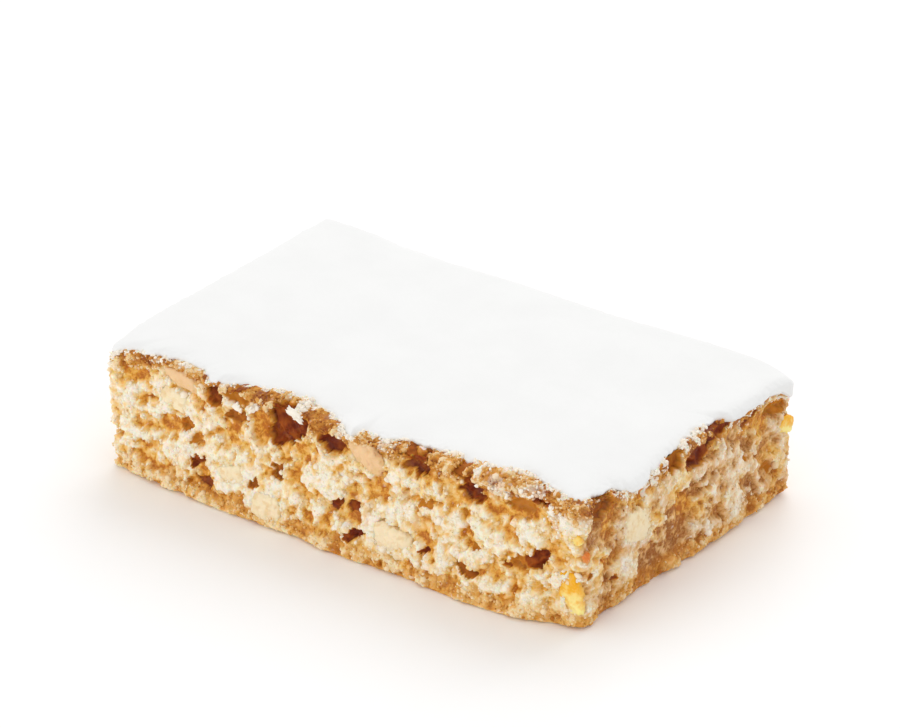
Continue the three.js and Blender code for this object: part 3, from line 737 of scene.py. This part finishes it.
def grain_points(middles, sizes, random):
    """Balls at the middles: stretched along three axes, dented at each corner, turned by a quaternion.

    A quaternion of a number w and a vector u turns v to v + 2 w (v x u) + 2 (v x u) x u.
    """
    count = len(middles)
    quaternion = random.normal(size=(4, count))
    quaternion /= np.linalg.norm(quaternion, axis=0)
    w, u = quaternion[0, :, None, None], quaternion[1:].T[:, None]
    stretch = random.uniform(0.6, 1.25, (count, 1, 3))
    dents = random.uniform(0.8, 1.15, (count, CORNERS, 1))
    balls = BALL * stretch * dents * sizes[:, None, None] / 2
    aside = 2 * np.cross(balls, u)
    balls = balls + w * aside + np.cross(aside, u)
    faces = trios + CORNERS * np.arange(count)[:, None, None]
    return (middles[:, None] + balls).reshape(-1, 3), faces.reshape(-1, 3)


# %% Strew grains over the cut
GRAIN_SPREAD = 0.45
GRAIN_LIMITS = (0.13, 0.9)
JITTER = 0.05
BURIED = 0.28
# Painted light: how much lighter a grain's outer top is than its foot.
PAINTED_GRAIN_LIGHT = 0.1
random = np.random.default_rng(20)
# Grains lie on bare dough: none in pores or under the icing, few on honey and chips, more round a chip.
bared = column_width * smooth(0.15, 0.0, hollow) * smooth(0.05, 0.3, beyond) * (1 - 0.9 * honeyed)
bared *= smooth(1.0, 0.5, bed).clip(0.3) + smooth(0.1, 0.4, bed) * smooth(1.0, 0.7, bed)
bared[: len(edge_rows) - 1] = 0


def scattered(density, count, size, spread, limits, jitter):
    """Grid points drawn at random by a density, and a size and a jittered place on the crumb for each."""
    chosen = random.choice(density.size, count, p=density.ravel() / density.sum())
    sizes = np.clip(size * np.exp(spread * random.normal(size=count)), *limits)
    return chosen, sizes, crumb_face.reshape(-1, 3)[chosen] + jitter * random.normal(size=(count, 3))


def strew(name, count, size, density, mix):
    """Grains at random places by a density. Each takes the dough's values there, and its own shade.

    The shade is the dough's pale value plus a random part, with painted light that makes it lighter towards
    the grain's outer top. Grains on amber dough are smaller, and none goes through the floor.
    """
    chosen, sizes, spot = scattered(density, count, size, GRAIN_SPREAD, GRAIN_LIMITS, JITTER)
    sizes *= 0.7 + 0.3 * smooth(0.1, 0.6, pale.ravel()[chosen])
    outward = push.reshape(-1, 3)[chosen]
    spot -= outward * (BURIED * sizes)[:, None]
    spot[:, 2] = np.maximum(spot[:, 2], sizes * 0.7)
    grains, faces = grain_points(spot, sizes, random)
    offset = grains.reshape(count, CORNERS, 3) - spot[:, None]
    height = (offset * outward[:, None]).sum(-1) / sizes[:, None] * 2
    values = {label: np.repeat(value.ravel()[chosen], CORNERS) for label, (value, _) in VALUES.items()}
    own = pale.ravel()[chosen] + mix * random.normal(size=count)
    values["pale"] = np.clip(own[:, None] + PAINTED_GRAIN_LIGHT * height, 0, 1).ravel()
    values["hollow"] = np.zeros(CORNERS * count)
    piece = make_piece(name, grains, NO_QUADS, faces, values)
    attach(piece, "root")
    return piece


crumb_grains = strew("loose_crumbs", 7000, 0.34, bared * (0.1 + smooth(0.15, 0.6, pale)), 0.1)
fine_grains = strew("fine_crumbs", 9900, 0.22, bared * (0.15 + smooth(0.2, 0.7, pale)), 0.15)
crust_grains = strew("crust_crumbs", 7000, 0.32, bared * (top_crust + 0.5 * base_crust), 0.3)

# %% [markdown]
# ## Materials
# One function turns colours, written as sRGB hex, to the linear values that the shader wants. Another adds a
# node with its settings and links, so that every material reads as a short list of steps.

# %% Colours and nodes
def linear(hex_colour):
    """sRGB hex to linear RGBA: the standard curve with its straight foot."""
    value = np.array([int(hex_colour[n : n + 2], 16) for n in (0, 2, 4)]) / 255
    value = np.where(value <= 0.04045, value / 12.92, ((value + 0.055) / 1.055) ** 2.4)
    return (*value.tolist(), 1.0)


def add(tree, kind, inputs=None, stops=(), **settings):
    """Add a node, set its properties, and give each input a number, a hex colour or a link.

    Stops are a ramp's places from 0 to 1 and their colours. Returns the node's outputs.
    """
    node = tree.nodes.new("ShaderNode" + kind)
    for key, value in settings.items():
        setattr(node, key, value)
    for key, value in (inputs or {}).items():
        if isinstance(value, bpy.types.NodeSocket):
            tree.links.new(value, node.inputs[key])
        else:
            node.inputs[key].default_value = linear(value) if isinstance(value, str) else value
    for place, _ in stops[1:-1]:
        node.color_ramp.elements.new(place)
    for number, (place, colour) in enumerate(stops):
        node.color_ramp.elements[number].position = place
        node.color_ramp.elements[number].color = linear(colour)
    return node.outputs


def new_material(name):
    """An empty node material with its output. Returns the material, its tree and the surface input."""
    material = bpy.data.materials.new(name)
    material.use_nodes = True
    material.node_tree.nodes.clear()
    output = material.node_tree.nodes.new("ShaderNodeOutputMaterial")
    return material, material.node_tree, output.inputs["Surface"]


# Settings of a colour mix and of a range with soft ends, and the sockets of the mix.
BLEND = {"data_type": "RGBA"}
SOFT = {"interpolation_type": "SMOOTHSTEP"}
FACTOR, UNDER, OVER, MIXED = 0, 6, 7, 2


def glazed(tree, colour, layers):
    """Lay colours over a first one, as glazes.

    A layer has the value that places it, the levels where that begins and is full, its cover and its colour.
    """
    for value, begins, full, cover, over in layers:
        cover_inputs = {"Value": value, "From Min": begins, "From Max": full, "To Max": cover}
        share = add(tree, "MapRange", cover_inputs, **SOFT)["Result"]
        colour = add(tree, "Mix", {FACTOR: share, UNDER: colour, OVER: over}, **BLEND)[MIXED]
    return colour


print("mid grey in linear light:", np.round(linear("808080")[0], 3))

# %% [markdown]
# ### Honey dough
# Baked honey dough is flour and ground almond bound by boiled honey. Where it tore, floury lumps are pale and
# matte. Where it is sunken the honey shows: amber, a little glossy and slightly see-through, and red-brown in
# the deep pores, where amber and red-brown are also painted shade that darkens with a pore's depth. The top is
# browned, and the base has a golden crust. The grid's own values say which is which: each lays one more colour
# over the last, as a glaze would. A noise of a quarter of a millimetre, as fine as the render shows of the
# flour's grit, breaks up every border.

# %% Dough material
CRUMB_STOPS = [0.0, 0.14, 0.3, 0.5, 0.75, 1.0]
WARM = list(zip(CRUMB_STOPS, ["b8680c", "d8952e", "e8b55c", "eec786", "f3d9ac", "f9eedb"]))
ROSY = list(zip(CRUMB_STOPS, ["9c5c1c", "c28c4e", "d9ad76", "e4c29a", "edd8bc", "f7ecdc"]))
CRUST_STOPS = [0.0, 0.3, 0.7, 1.0]
BROWN = list(zip(CRUST_STOPS, ["863c06", "b86c14", "d89432", "f0d09a"]))
GOLD = list(zip(CRUST_STOPS, ["b86e18", "da9a42", "ebba70", "f5dcb0"]))
# Sugar dust; amber at a pore's rim and red-brown deeper in, painted shade over the honey's own colour.
SUGAR, AMBER_PORE_SHADE, DEEP_PORE_SHADE = "f9f0e0", "c98224", ("702406", "9c4c10")
GRIT, VEIN = 0.25 * MM, 1.1 * MM


def dough_material(name, inside):
    """Dough with a share of light that goes into it. Loose grains are too small for that and get none.

    The shade is the pale value moved by the grit. The colours of crumb and crust are ramps over the shade.
    """
    material, tree, surface = new_material(name)
    place = add(tree, "TexCoord")["Object"]
    field = {label: add(tree, "Attribute", attribute_name=label)["Fac"] for label in VALUES}
    grit_inputs = {"Vector": place, "Scale": 1 / GRIT, "Detail": 3.0, "Roughness": 0.6}
    grit = add(tree, "TexNoise", grit_inputs)["Fac"]
    shift_inputs = {"Value": grit, "From Min": 0.25, "From Max": 0.75, "To Min": -0.1, "To Max": 0.1}
    shift = add(tree, "MapRange", shift_inputs, **SOFT)["Result"]
    shade = add(tree, "Math", {0: field["pale"], 1: shift}, operation="ADD")["Value"]
    vein = add(tree, "TexNoise", {"Vector": place, "Scale": 1 / VEIN, "Detail": 3.0})["Fac"]
    vein = add(tree, "MapRange", {"Value": vein, "From Min": 0.35, "From Max": 0.65}, **SOFT)["Result"]
    pore_shade_colour = add(tree, "Mix", {FACTOR: vein, UNDER: DEEP_PORE_SHADE[0], OVER: DEEP_PORE_SHADE[1]}, **BLEND)[MIXED]
    warm, rosy, brown, gold = (
        add(tree, "ValToRGB", {"Fac": shade}, stops)["Color"] for stops in (WARM, ROSY, BROWN, GOLD)
    )
    layers = [
        (field["tone"], 0.65, 1.0, 1.0, rosy),
        (field["top_crust"], 0.1, 0.9, 0.85, brown),
        (field["base_crust"], 0.1, 0.9, 0.9, gold),
        (field["dust"], 0.1, 0.9, 0.9, SUGAR),
        # The pore value lays painted shade over the honey: amber first, then red-brown.
        (field["hollow"], 0.05, 0.4, 1.0, AMBER_PORE_SHADE),
        (field["hollow"], 0.35, 0.9, 1.0, pore_shade_colour),
    ]
    dry_inputs = {"Value": shade, "From Min": 0.05, "From Max": 0.5, "To Min": 0.4, "To Max": 0.85}
    inputs = {
        "Base Color": glazed(tree, warm, layers),
        "Roughness": add(tree, "MapRange", dry_inputs, **SOFT)["Result"],
        "Normal": add(tree, "Bump", {"Height": grit, "Strength": 0.2, "Distance": 0.1 * MM})["Normal"],
        "IOR": 1.45,
        "Specular IOR Level": 0.3,
        "Subsurface Weight": inside,
        "Subsurface Radius": (1.0, 0.55, 0.25),
        "Subsurface Scale": 0.4 * MM,
    }
    tree.links.new(add(tree, "BsdfPrincipled", inputs)["BSDF"], surface)
    print(name, "nodes:", len(tree.nodes))
    return material


dough.data.materials.append(dough_material("baked honey dough, torn crumb", 0.75))
loose = dough_material("baked honey dough, loose grains", 0.0)
for piece in (crumb_grains, fine_grains, crust_grains):
    piece.data.materials.append(loose)

# %% [markdown]
# ## The icing
# The icing is a dried skin of sugar under a millimetre thick. A copy of the top with a Solidify modifier
# would end in an even, square edge. Instead its section is carried round the outline: from the flat top's
# rings it goes outwards, follows the rounded shoulder and stops at the ragged edge. It is full thickness
# inside and thins to a blunt, grainy rim. A few rings underneath close it, sunk a little into the dough.

# %% Icing surface
INNER_SHARES = [0.25, 0.5, 0.7, 0.85]
OUTER_SHARES = 1 - (1 - np.linspace(0, 1, 38)) ** 1.5
RIM, HANGING_RIM = 0.12, 0.4
SUNK, LEAST_THICK = 0.3, 0.03


def icing_row(share, arc_share):
    """One ring on the dough: inside, the flat top's ring shrinks; outside, it follows the arc to the edge."""
    reach = smooth_arc * arc_share + ragged * arc_share**10
    inset = np.maximum(FLAT - reach, -0.1)
    row = top_row(inset) * [share, share, 1]
    if share < 1:
        row[:, 2] = top_height(row[:, 0], row[:, 1])
    row[:, 2] -= np.maximum(0, reach - FLAT - 0.1)
    return row


def icing_over(share, arc_share):
    """Upper skin: the ring lifted by the thickness, with brush waves, and grains near the rim.

    Where the icing hangs over the cut, the thickness goes outwards instead of up. Where its edge stands back,
    it thins over a longer way.
    """
    row = icing_row(share, arc_share)
    to_rim = smooth_arc * (1 - arc_share) if share == 1 else np.full(COLUMNS, FLAT)
    rim = RIM + (HANGING_RIM - RIM) * smooth(0.3, -0.1, stands_back)
    thick = rim + (ICING - rim) * (1 - np.exp(-to_rim / (0.5 + 0.5 * np.clip(stands_back, 0, 2))))
    thick = thick * np.sqrt(np.clip(to_rim / 0.1, 0, 1)) + LEAST_THICK
    waves = 0.07 * noise(row, 6.0, 91) + 0.02 * noise(row, 1.8, 93)
    grainy = (0.08 * noise(row, 0.6, 95) + 0.05 * noise(row, 0.3, 97)) * smooth(1.2, 0.2, to_rim)
    hanging = smooth(-0.3, 0.5, smooth_arc * arc_share - FLAT) * (share == 1)
    lift = (thick + waves + grainy) * (1 - 0.6 * hanging)
    row += lift[:, None] * np.stack([hanging * out_x, hanging * out_y, 1 - hanging], -1)
    return row


over = [icing_over(s, 0.0) for s in INNER_SHARES] + [icing_over(1.0, a) for a in OUTER_SHARES]
under = [icing_row(s, a) - [0, 0, SUNK] for s, a in [(0.5, 0.0), (1.0, 0.0), (1.0, 0.6), (1.0, 0.97)]]
icing = make_piece("icing_skin", *closed_grid(np.stack(under + over[::-1])))
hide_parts("icing")
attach(icing, "root")

# %% [markdown]
# ### White grains and flakes
# Where the icing broke, it left white grains on the crust below its edge, most of all at the near right
# corner. They are strewn as the crumbs were. A few larger flakes lie a little lower, each a flat, rough ball.
# Grains and flakes are joined to one mesh, because they are one stuff.

# %% Strew white grains
WHITE_GRAINS, WHITE_SIZE, WHITE_SPREAD = 2200, 0.24, 0.4
WHITE_LIMITS, WHITE_JITTER = (0.12, 0.6), 0.06
powder = 0.3 * np.exp(-((beyond / 0.4) ** 2)) * smooth(-0.1, 0.1, beyond) + flake + 0.05 * dusting
density = powder * column_width * smooth(0.3, 0.05, hollow)
density = density * (0.1 + smooth(-0.1, 0.35, speckle)) * (0.2 + dusted)
_, sizes, spot = scattered(density, WHITE_GRAINS, WHITE_SIZE, WHITE_SPREAD, WHITE_LIMITS, WHITE_JITTER)
grains, faces = grain_points(spot, sizes, random)
print("white grains mm, mean:", sizes.mean().round(2))


# %% Flakes
def ball_grid(meridians, parallels):
    """Points of a ball of radius 1 on rings of latitude, without its poles."""
    lon = np.linspace(0, 2 * np.pi, meridians, endpoint=False)
    lat = np.linspace(-np.pi / 2, np.pi / 2, parallels + 2)[1:-1, None]
    return np.stack([np.cos(lat) * np.cos(lon), np.cos(lat) * np.sin(lon), np.sin(lat) + 0 * lon], -1)


FLAKE_THICK = 0.22
FLAKE_BALL = ball_grid(28, 14)


def flake_points(side, along, up, half_width, half_height, slant):
    """A flat, rough bit of icing that lies on the crumb: a ball stretched along and across its own slant."""
    run, out, reach = side_frame(side)
    spot = run * along + out * reach + [0, 0, up]
    nearest = np.argmin(np.linalg.norm(torn - spot, axis=-1))
    c, s = np.cos(np.radians(slant)), np.sin(np.radians(slant))
    lengthways = run * c + np.array([0, 0, s])
    crossways = np.array([0, 0, c]) - run * s
    ball = FLAKE_BALL[..., :1] * lengthways * half_width + FLAKE_BALL[..., 1:2] * crossways * half_height
    ball = ball + FLAKE_BALL[..., 2:] * out * FLAKE_THICK
    rough = 1 + 0.5 * noise(ball + spot, 0.5, 121) + 0.4 * noise(ball + spot, 0.22, 123)
    return crumb_face.reshape(-1, 3)[nearest] + ball * rough[..., None]


parts = [(grains, NO_QUADS, faces)] + [closed_grid(flake_points(*row)) for row in rows_of(FLAKES)]
starts = np.cumsum([0] + [len(points) for points, _, _ in parts])
white_points = np.concatenate([points for points, _, _ in parts])
white_quads = np.concatenate([quads + start for (_, quads, _), start in zip(parts, starts)])
white_triangles = np.concatenate([triangles + start for (_, _, triangles), start in zip(parts, starts)])
white_grains = make_piece("icing_grains", white_points, white_quads, white_triangles)
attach(white_grains, "root")

# %% [markdown]
# ### Sugar icing
# Dried sugar icing is a mass of tiny crystals in a film: white and matte, with a faint sheen that a fine
# bump breaks up. The crystals are far finer than a pixel, so the bump is drawn at a third of a millimetre to
# show at all. Broken grains show their rough inside and are a little creamier.

# %% Icing materials
CRYSTAL, BRUSHED = 0.35 * MM, 5.0 * MM
icing_skin, tree, surface = new_material("dried sugar icing, brushed on")
place = add(tree, "TexCoord")["Object"]
crystal = add(tree, "TexNoise", {"Vector": place, "Scale": 1 / CRYSTAL, "Detail": 3.0})["Fac"]
brushed = add(tree, "TexNoise", {"Vector": place, "Scale": 1 / BRUSHED, "Detail": 2.0})["Fac"]
brushed = add(tree, "MapRange", {"Value": brushed, "From Min": 0.3, "From Max": 0.7}, **SOFT)["Result"]
matte_inputs = {"Value": crystal, "From Min": 0.3, "From Max": 0.7, "To Min": 0.6, "To Max": 0.8}
icing_inputs = {
    "Base Color": add(tree, "Mix", {FACTOR: brushed, UNDER: "ededec", OVER: "efefee"}, **BLEND)[MIXED],
    "Roughness": add(tree, "MapRange", matte_inputs, **SOFT)["Result"],
    "Normal": add(tree, "Bump", {"Height": crystal, "Strength": 0.2, "Distance": 0.06 * MM})["Normal"],
    "IOR": 1.5,
    "Specular IOR Level": 0.25,
}
tree.links.new(add(tree, "BsdfPrincipled", icing_inputs)["BSDF"], surface)
icing.data.materials.append(icing_skin)
print("icing nodes:", len(tree.nodes))

grain_skin, tree, surface = new_material("broken sugar icing, loose grains")
grain_inputs = {"Base Color": "faf2e4", "Roughness": 0.9, "Specular IOR Level": 0.1}
tree.links.new(add(tree, "BsdfPrincipled", grain_inputs)["BSDF"], surface)
white_grains.data.materials.append(grain_skin)

# %% [markdown]
# ## Nuts and peel
# Chopped nuts are uneven lumps, and candied peel is diced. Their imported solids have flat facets, and to
# subdivide those would round them off. So each is a ball on a grid of longitude and latitude whose radius
# follows the rays of its node, roughened by noise. Its edges stay where the solid has them.

# %% Chip surfaces
MERIDIANS, PARALLELS = 110, 52
NOISE_STEP, GROWN = 20.0, 1.02


def chip_piece(name, number):
    """A ball whose radius is the node's own in each direction, roughened by noise of three sizes.

    The number moves each chip to its own part of the noise.
    Its value "skin" rises from the cut face to the sides, and "up" from its foot to its top.
    """
    ball = ball_grid(MERIDIANS, PARALLELS)
    reach = chip_reach(ball, name)[..., None]
    there = ball * reach + NOISE_STEP * number
    uneven = 0.1 * noise(there, 1.1, 113) + 0.09 * noise(there, 0.5, 115) + 0.06 * noise(there, 0.27, 117)
    rows = CHIPS[name][0] + ball * (GROWN + uneven)[..., None] * reach
    points, quads, triangles = closed_grid(rows)
    away = [(points @ side_frame(side)[1] - side_frame(side)[2]) for side in SIDES]
    depth = -np.max(away, axis=0)
    rise = points[:, 2] - points[:, 2].min()
    values = {"skin": (depth - depth.min()) / np.ptp(depth), "up": rise / rise.max()}
    return make_piece(name + "_piece", points, quads, triangles, values)


chips = {name: chip_piece(name, number) for number, name in enumerate(CHIPS)}
for name, piece in chips.items():
    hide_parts(name)
    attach(piece, "root")

# %% [markdown]
# ### Almond, blanched nut, lemon and orange peel
# A cut nut is waxy and pale with a faint grain, and toasted almond is tan. Candied peel is clear jelly: light
# goes into it and comes out yellow or orange, and its surface has a moist sheen. Four materials could be
# built one by one, but they share one recipe: two colours mixed by noise, crumb that clings to the rim,
# light inside and a roughness.

# %% Chip materials
# Name, value that mixes, two colours, crumb on the rim, roughness, share of light inside and its radius.
CHIP_FINISHES = {
    "almond": ("toasted almond, chopped", "skin", "ecc596", "d2964e", 0.6, 0.5, 0.3, (1.0, 0.6, 0.3)),
    "kernel": ("blanched nut, chopped", "skin", "f3e0bc", "deb678", 0.8, 0.6, 0.3, (1.0, 0.7, 0.4)),
    "lemon_peel": ("candied lemon peel, diced", "up", "fbe796", "f2ae0c", 0.3, 0.4, 0.3, (1.0, 0.7, 0.15)),
    "orange_peel": ("candied orange peel, diced", "up", "eca850", "dc7420", 0.3, 0.4, 0.3, (1.0, 0.45, 0.1)),
}
CLINGING_CRUMB = "ebcd98"
MOTTLE, NUT_GRAIN = 0.8 * MM, 0.3 * MM
for kind, (title, value, first, second, crumbed, roughness, inside, radius) in CHIP_FINISHES.items():
    skin, tree, surface = new_material(title)
    place = add(tree, "TexCoord")["Object"]
    mottle = add(tree, "TexNoise", {"Vector": place, "Scale": 1 / MOTTLE, "Detail": 4.0})["Fac"]
    grain = add(tree, "TexNoise", {"Vector": place, "Scale": 1 / NUT_GRAIN, "Detail": 3.0})["Fac"]
    shift_inputs = {"Value": mottle, "From Min": 0.3, "From Max": 0.7, "To Min": -0.3, "To Max": 0.3}
    shift = add(tree, "MapRange", shift_inputs, **SOFT)["Result"]
    moved = {}
    for label in ("skin", "up"):
        field = add(tree, "Attribute", attribute_name=label)["Fac"]
        moved[label] = add(tree, "Math", {0: field, 1: shift}, operation="ADD")["Value"]
    layers = [
        (moved[value], 0.0, 0.8, 1.0, second),
        (moved["skin"], 0.05, 0.6, crumbed, CLINGING_CRUMB),
    ]
    moist_inputs = {"Value": grain, "From Min": 0.3, "From Max": 0.7, "To Min": roughness}
    moist_inputs["To Max"] = roughness + 0.2
    inputs = {
        "Base Color": glazed(tree, first, layers),
        "Roughness": add(tree, "MapRange", moist_inputs, **SOFT)["Result"],
        "Normal": add(tree, "Bump", {"Height": grain, "Strength": 0.3, "Distance": 0.08 * MM})["Normal"],
        "IOR": 1.45,
        "Specular IOR Level": 0.35,
        "Subsurface Weight": inside,
        "Subsurface Radius": radius,
        "Subsurface Scale": 0.6 * MM,
    }
    tree.links.new(add(tree, "BsdfPrincipled", inputs)["BSDF"], surface)
    pieces = [piece for name, piece in chips.items() if name.startswith(kind)]
    for piece in pieces:
        piece.data.materials.append(skin)
    print(title, "pieces:", len(pieces))

# %% [markdown]
# ## Floor, light and camera
# The biscuit lies on a plain white floor in a bright, even room, which gives the soft shade along its foot. A
# single lamp could light it, but its shadow would be hard, so that the world gives most of the light. A low,
# wide lamp from the front left lifts the front over the right end, and one at the back lifts the icing. The
# camera has a long lens, as a close view of a small thing needs, and looks down at the near corner.

# %% Floor
FLOOR, FLOOR_GAP = 4000.0, 0.02
floor_points = np.array([[-1, -1, 0], [1, -1, 0], [1, 1, 0], [-1, 1, 0]]) * FLOOR - [0, 0, FLOOR_GAP]
floor = make_piece("floor", floor_points, np.array([[0, 1, 2, 3]]), NO_TRIANGLES)
floor_skin, tree, surface = new_material("white card")
floor_inputs = {"Base Color": "fdfdfd", "Roughness": 0.55, "Specular IOR Level": 0.3}
tree.links.new(add(tree, "BsdfPrincipled", floor_inputs)["BSDF"], surface)
floor.data.materials.append(floor_skin)


# %% Light
def turn_to(holder, place, target):
    """Place an object and turn its -Z to a target: z is away from it, x is level, y is up."""
    z = (place - target) / np.linalg.norm(place - target)
    x = np.cross([0, 0, 1], z) / np.linalg.norm(np.cross([0, 0, 1], z))
    turned = np.eye(4)
    turned[:3] = np.stack([x, np.cross(z, x), z, place * MM], -1)
    holder.matrix_world = Matrix(turned.tolist())


world = bpy.data.worlds.new("bright room")
bpy.context.scene.world = world
world.use_nodes = True
background = world.node_tree.nodes["Background"].inputs
background["Color"].default_value = (1, 1, 1, 1)
background["Strength"].default_value = 0.86
AIM = np.array([0.0, 0.0, 6.0])
# Place in millimetres, width and height in metres, and power in watts.
LAMPS = {
    "front panel": ((-270.0, -522.0, 85.0), (1.0, 0.4), 1.2),
    "back panel": ((-80.0, 420.0, 420.0), (0.5, 0.5), 1.2),
}
for name, (place, (width, height), power) in LAMPS.items():
    light = bpy.data.lights.new(name, "AREA")
    light.shape = "RECTANGLE"
    light.size, light.size_y = width, height
    light.energy = power
    lamp = bpy.data.objects.new(name, light)
    bpy.context.scene.collection.objects.link(lamp)
    turn_to(lamp, np.array(place), AIM)
    print(name, "mm from the biscuit:", np.linalg.norm(np.array(place) - AIM).round())
bpy.context.scene.view_settings.view_transform = "Standard"

# %% Camera
AZIMUTH, ELEVATION, DISTANCE = np.radians(36.22), np.radians(26.54), 523.6
SHIFT_RIGHT, SHIFT_UP = 0.17, 11.98
right = np.array([np.cos(AZIMUTH), np.sin(AZIMUTH), 0])
level_back = np.array([np.sin(AZIMUTH), -np.cos(AZIMUTH), 0])
back = level_back * np.cos(ELEVATION) + [0, 0, np.sin(ELEVATION)]
target = right * SHIFT_RIGHT + np.cross(back, right) * SHIFT_UP
camera = bpy.data.objects.new("camera", bpy.data.cameras.new("camera"))
bpy.context.scene.collection.objects.link(camera)
camera.data.lens = 200
camera.data.sensor_width = 36
camera.data.clip_start, camera.data.clip_end = 0.01, 20
turn_to(camera, target + back * DISTANCE, target)
bpy.context.scene.camera = camera
print("camera mm:", np.round(target + back * DISTANCE, 1))
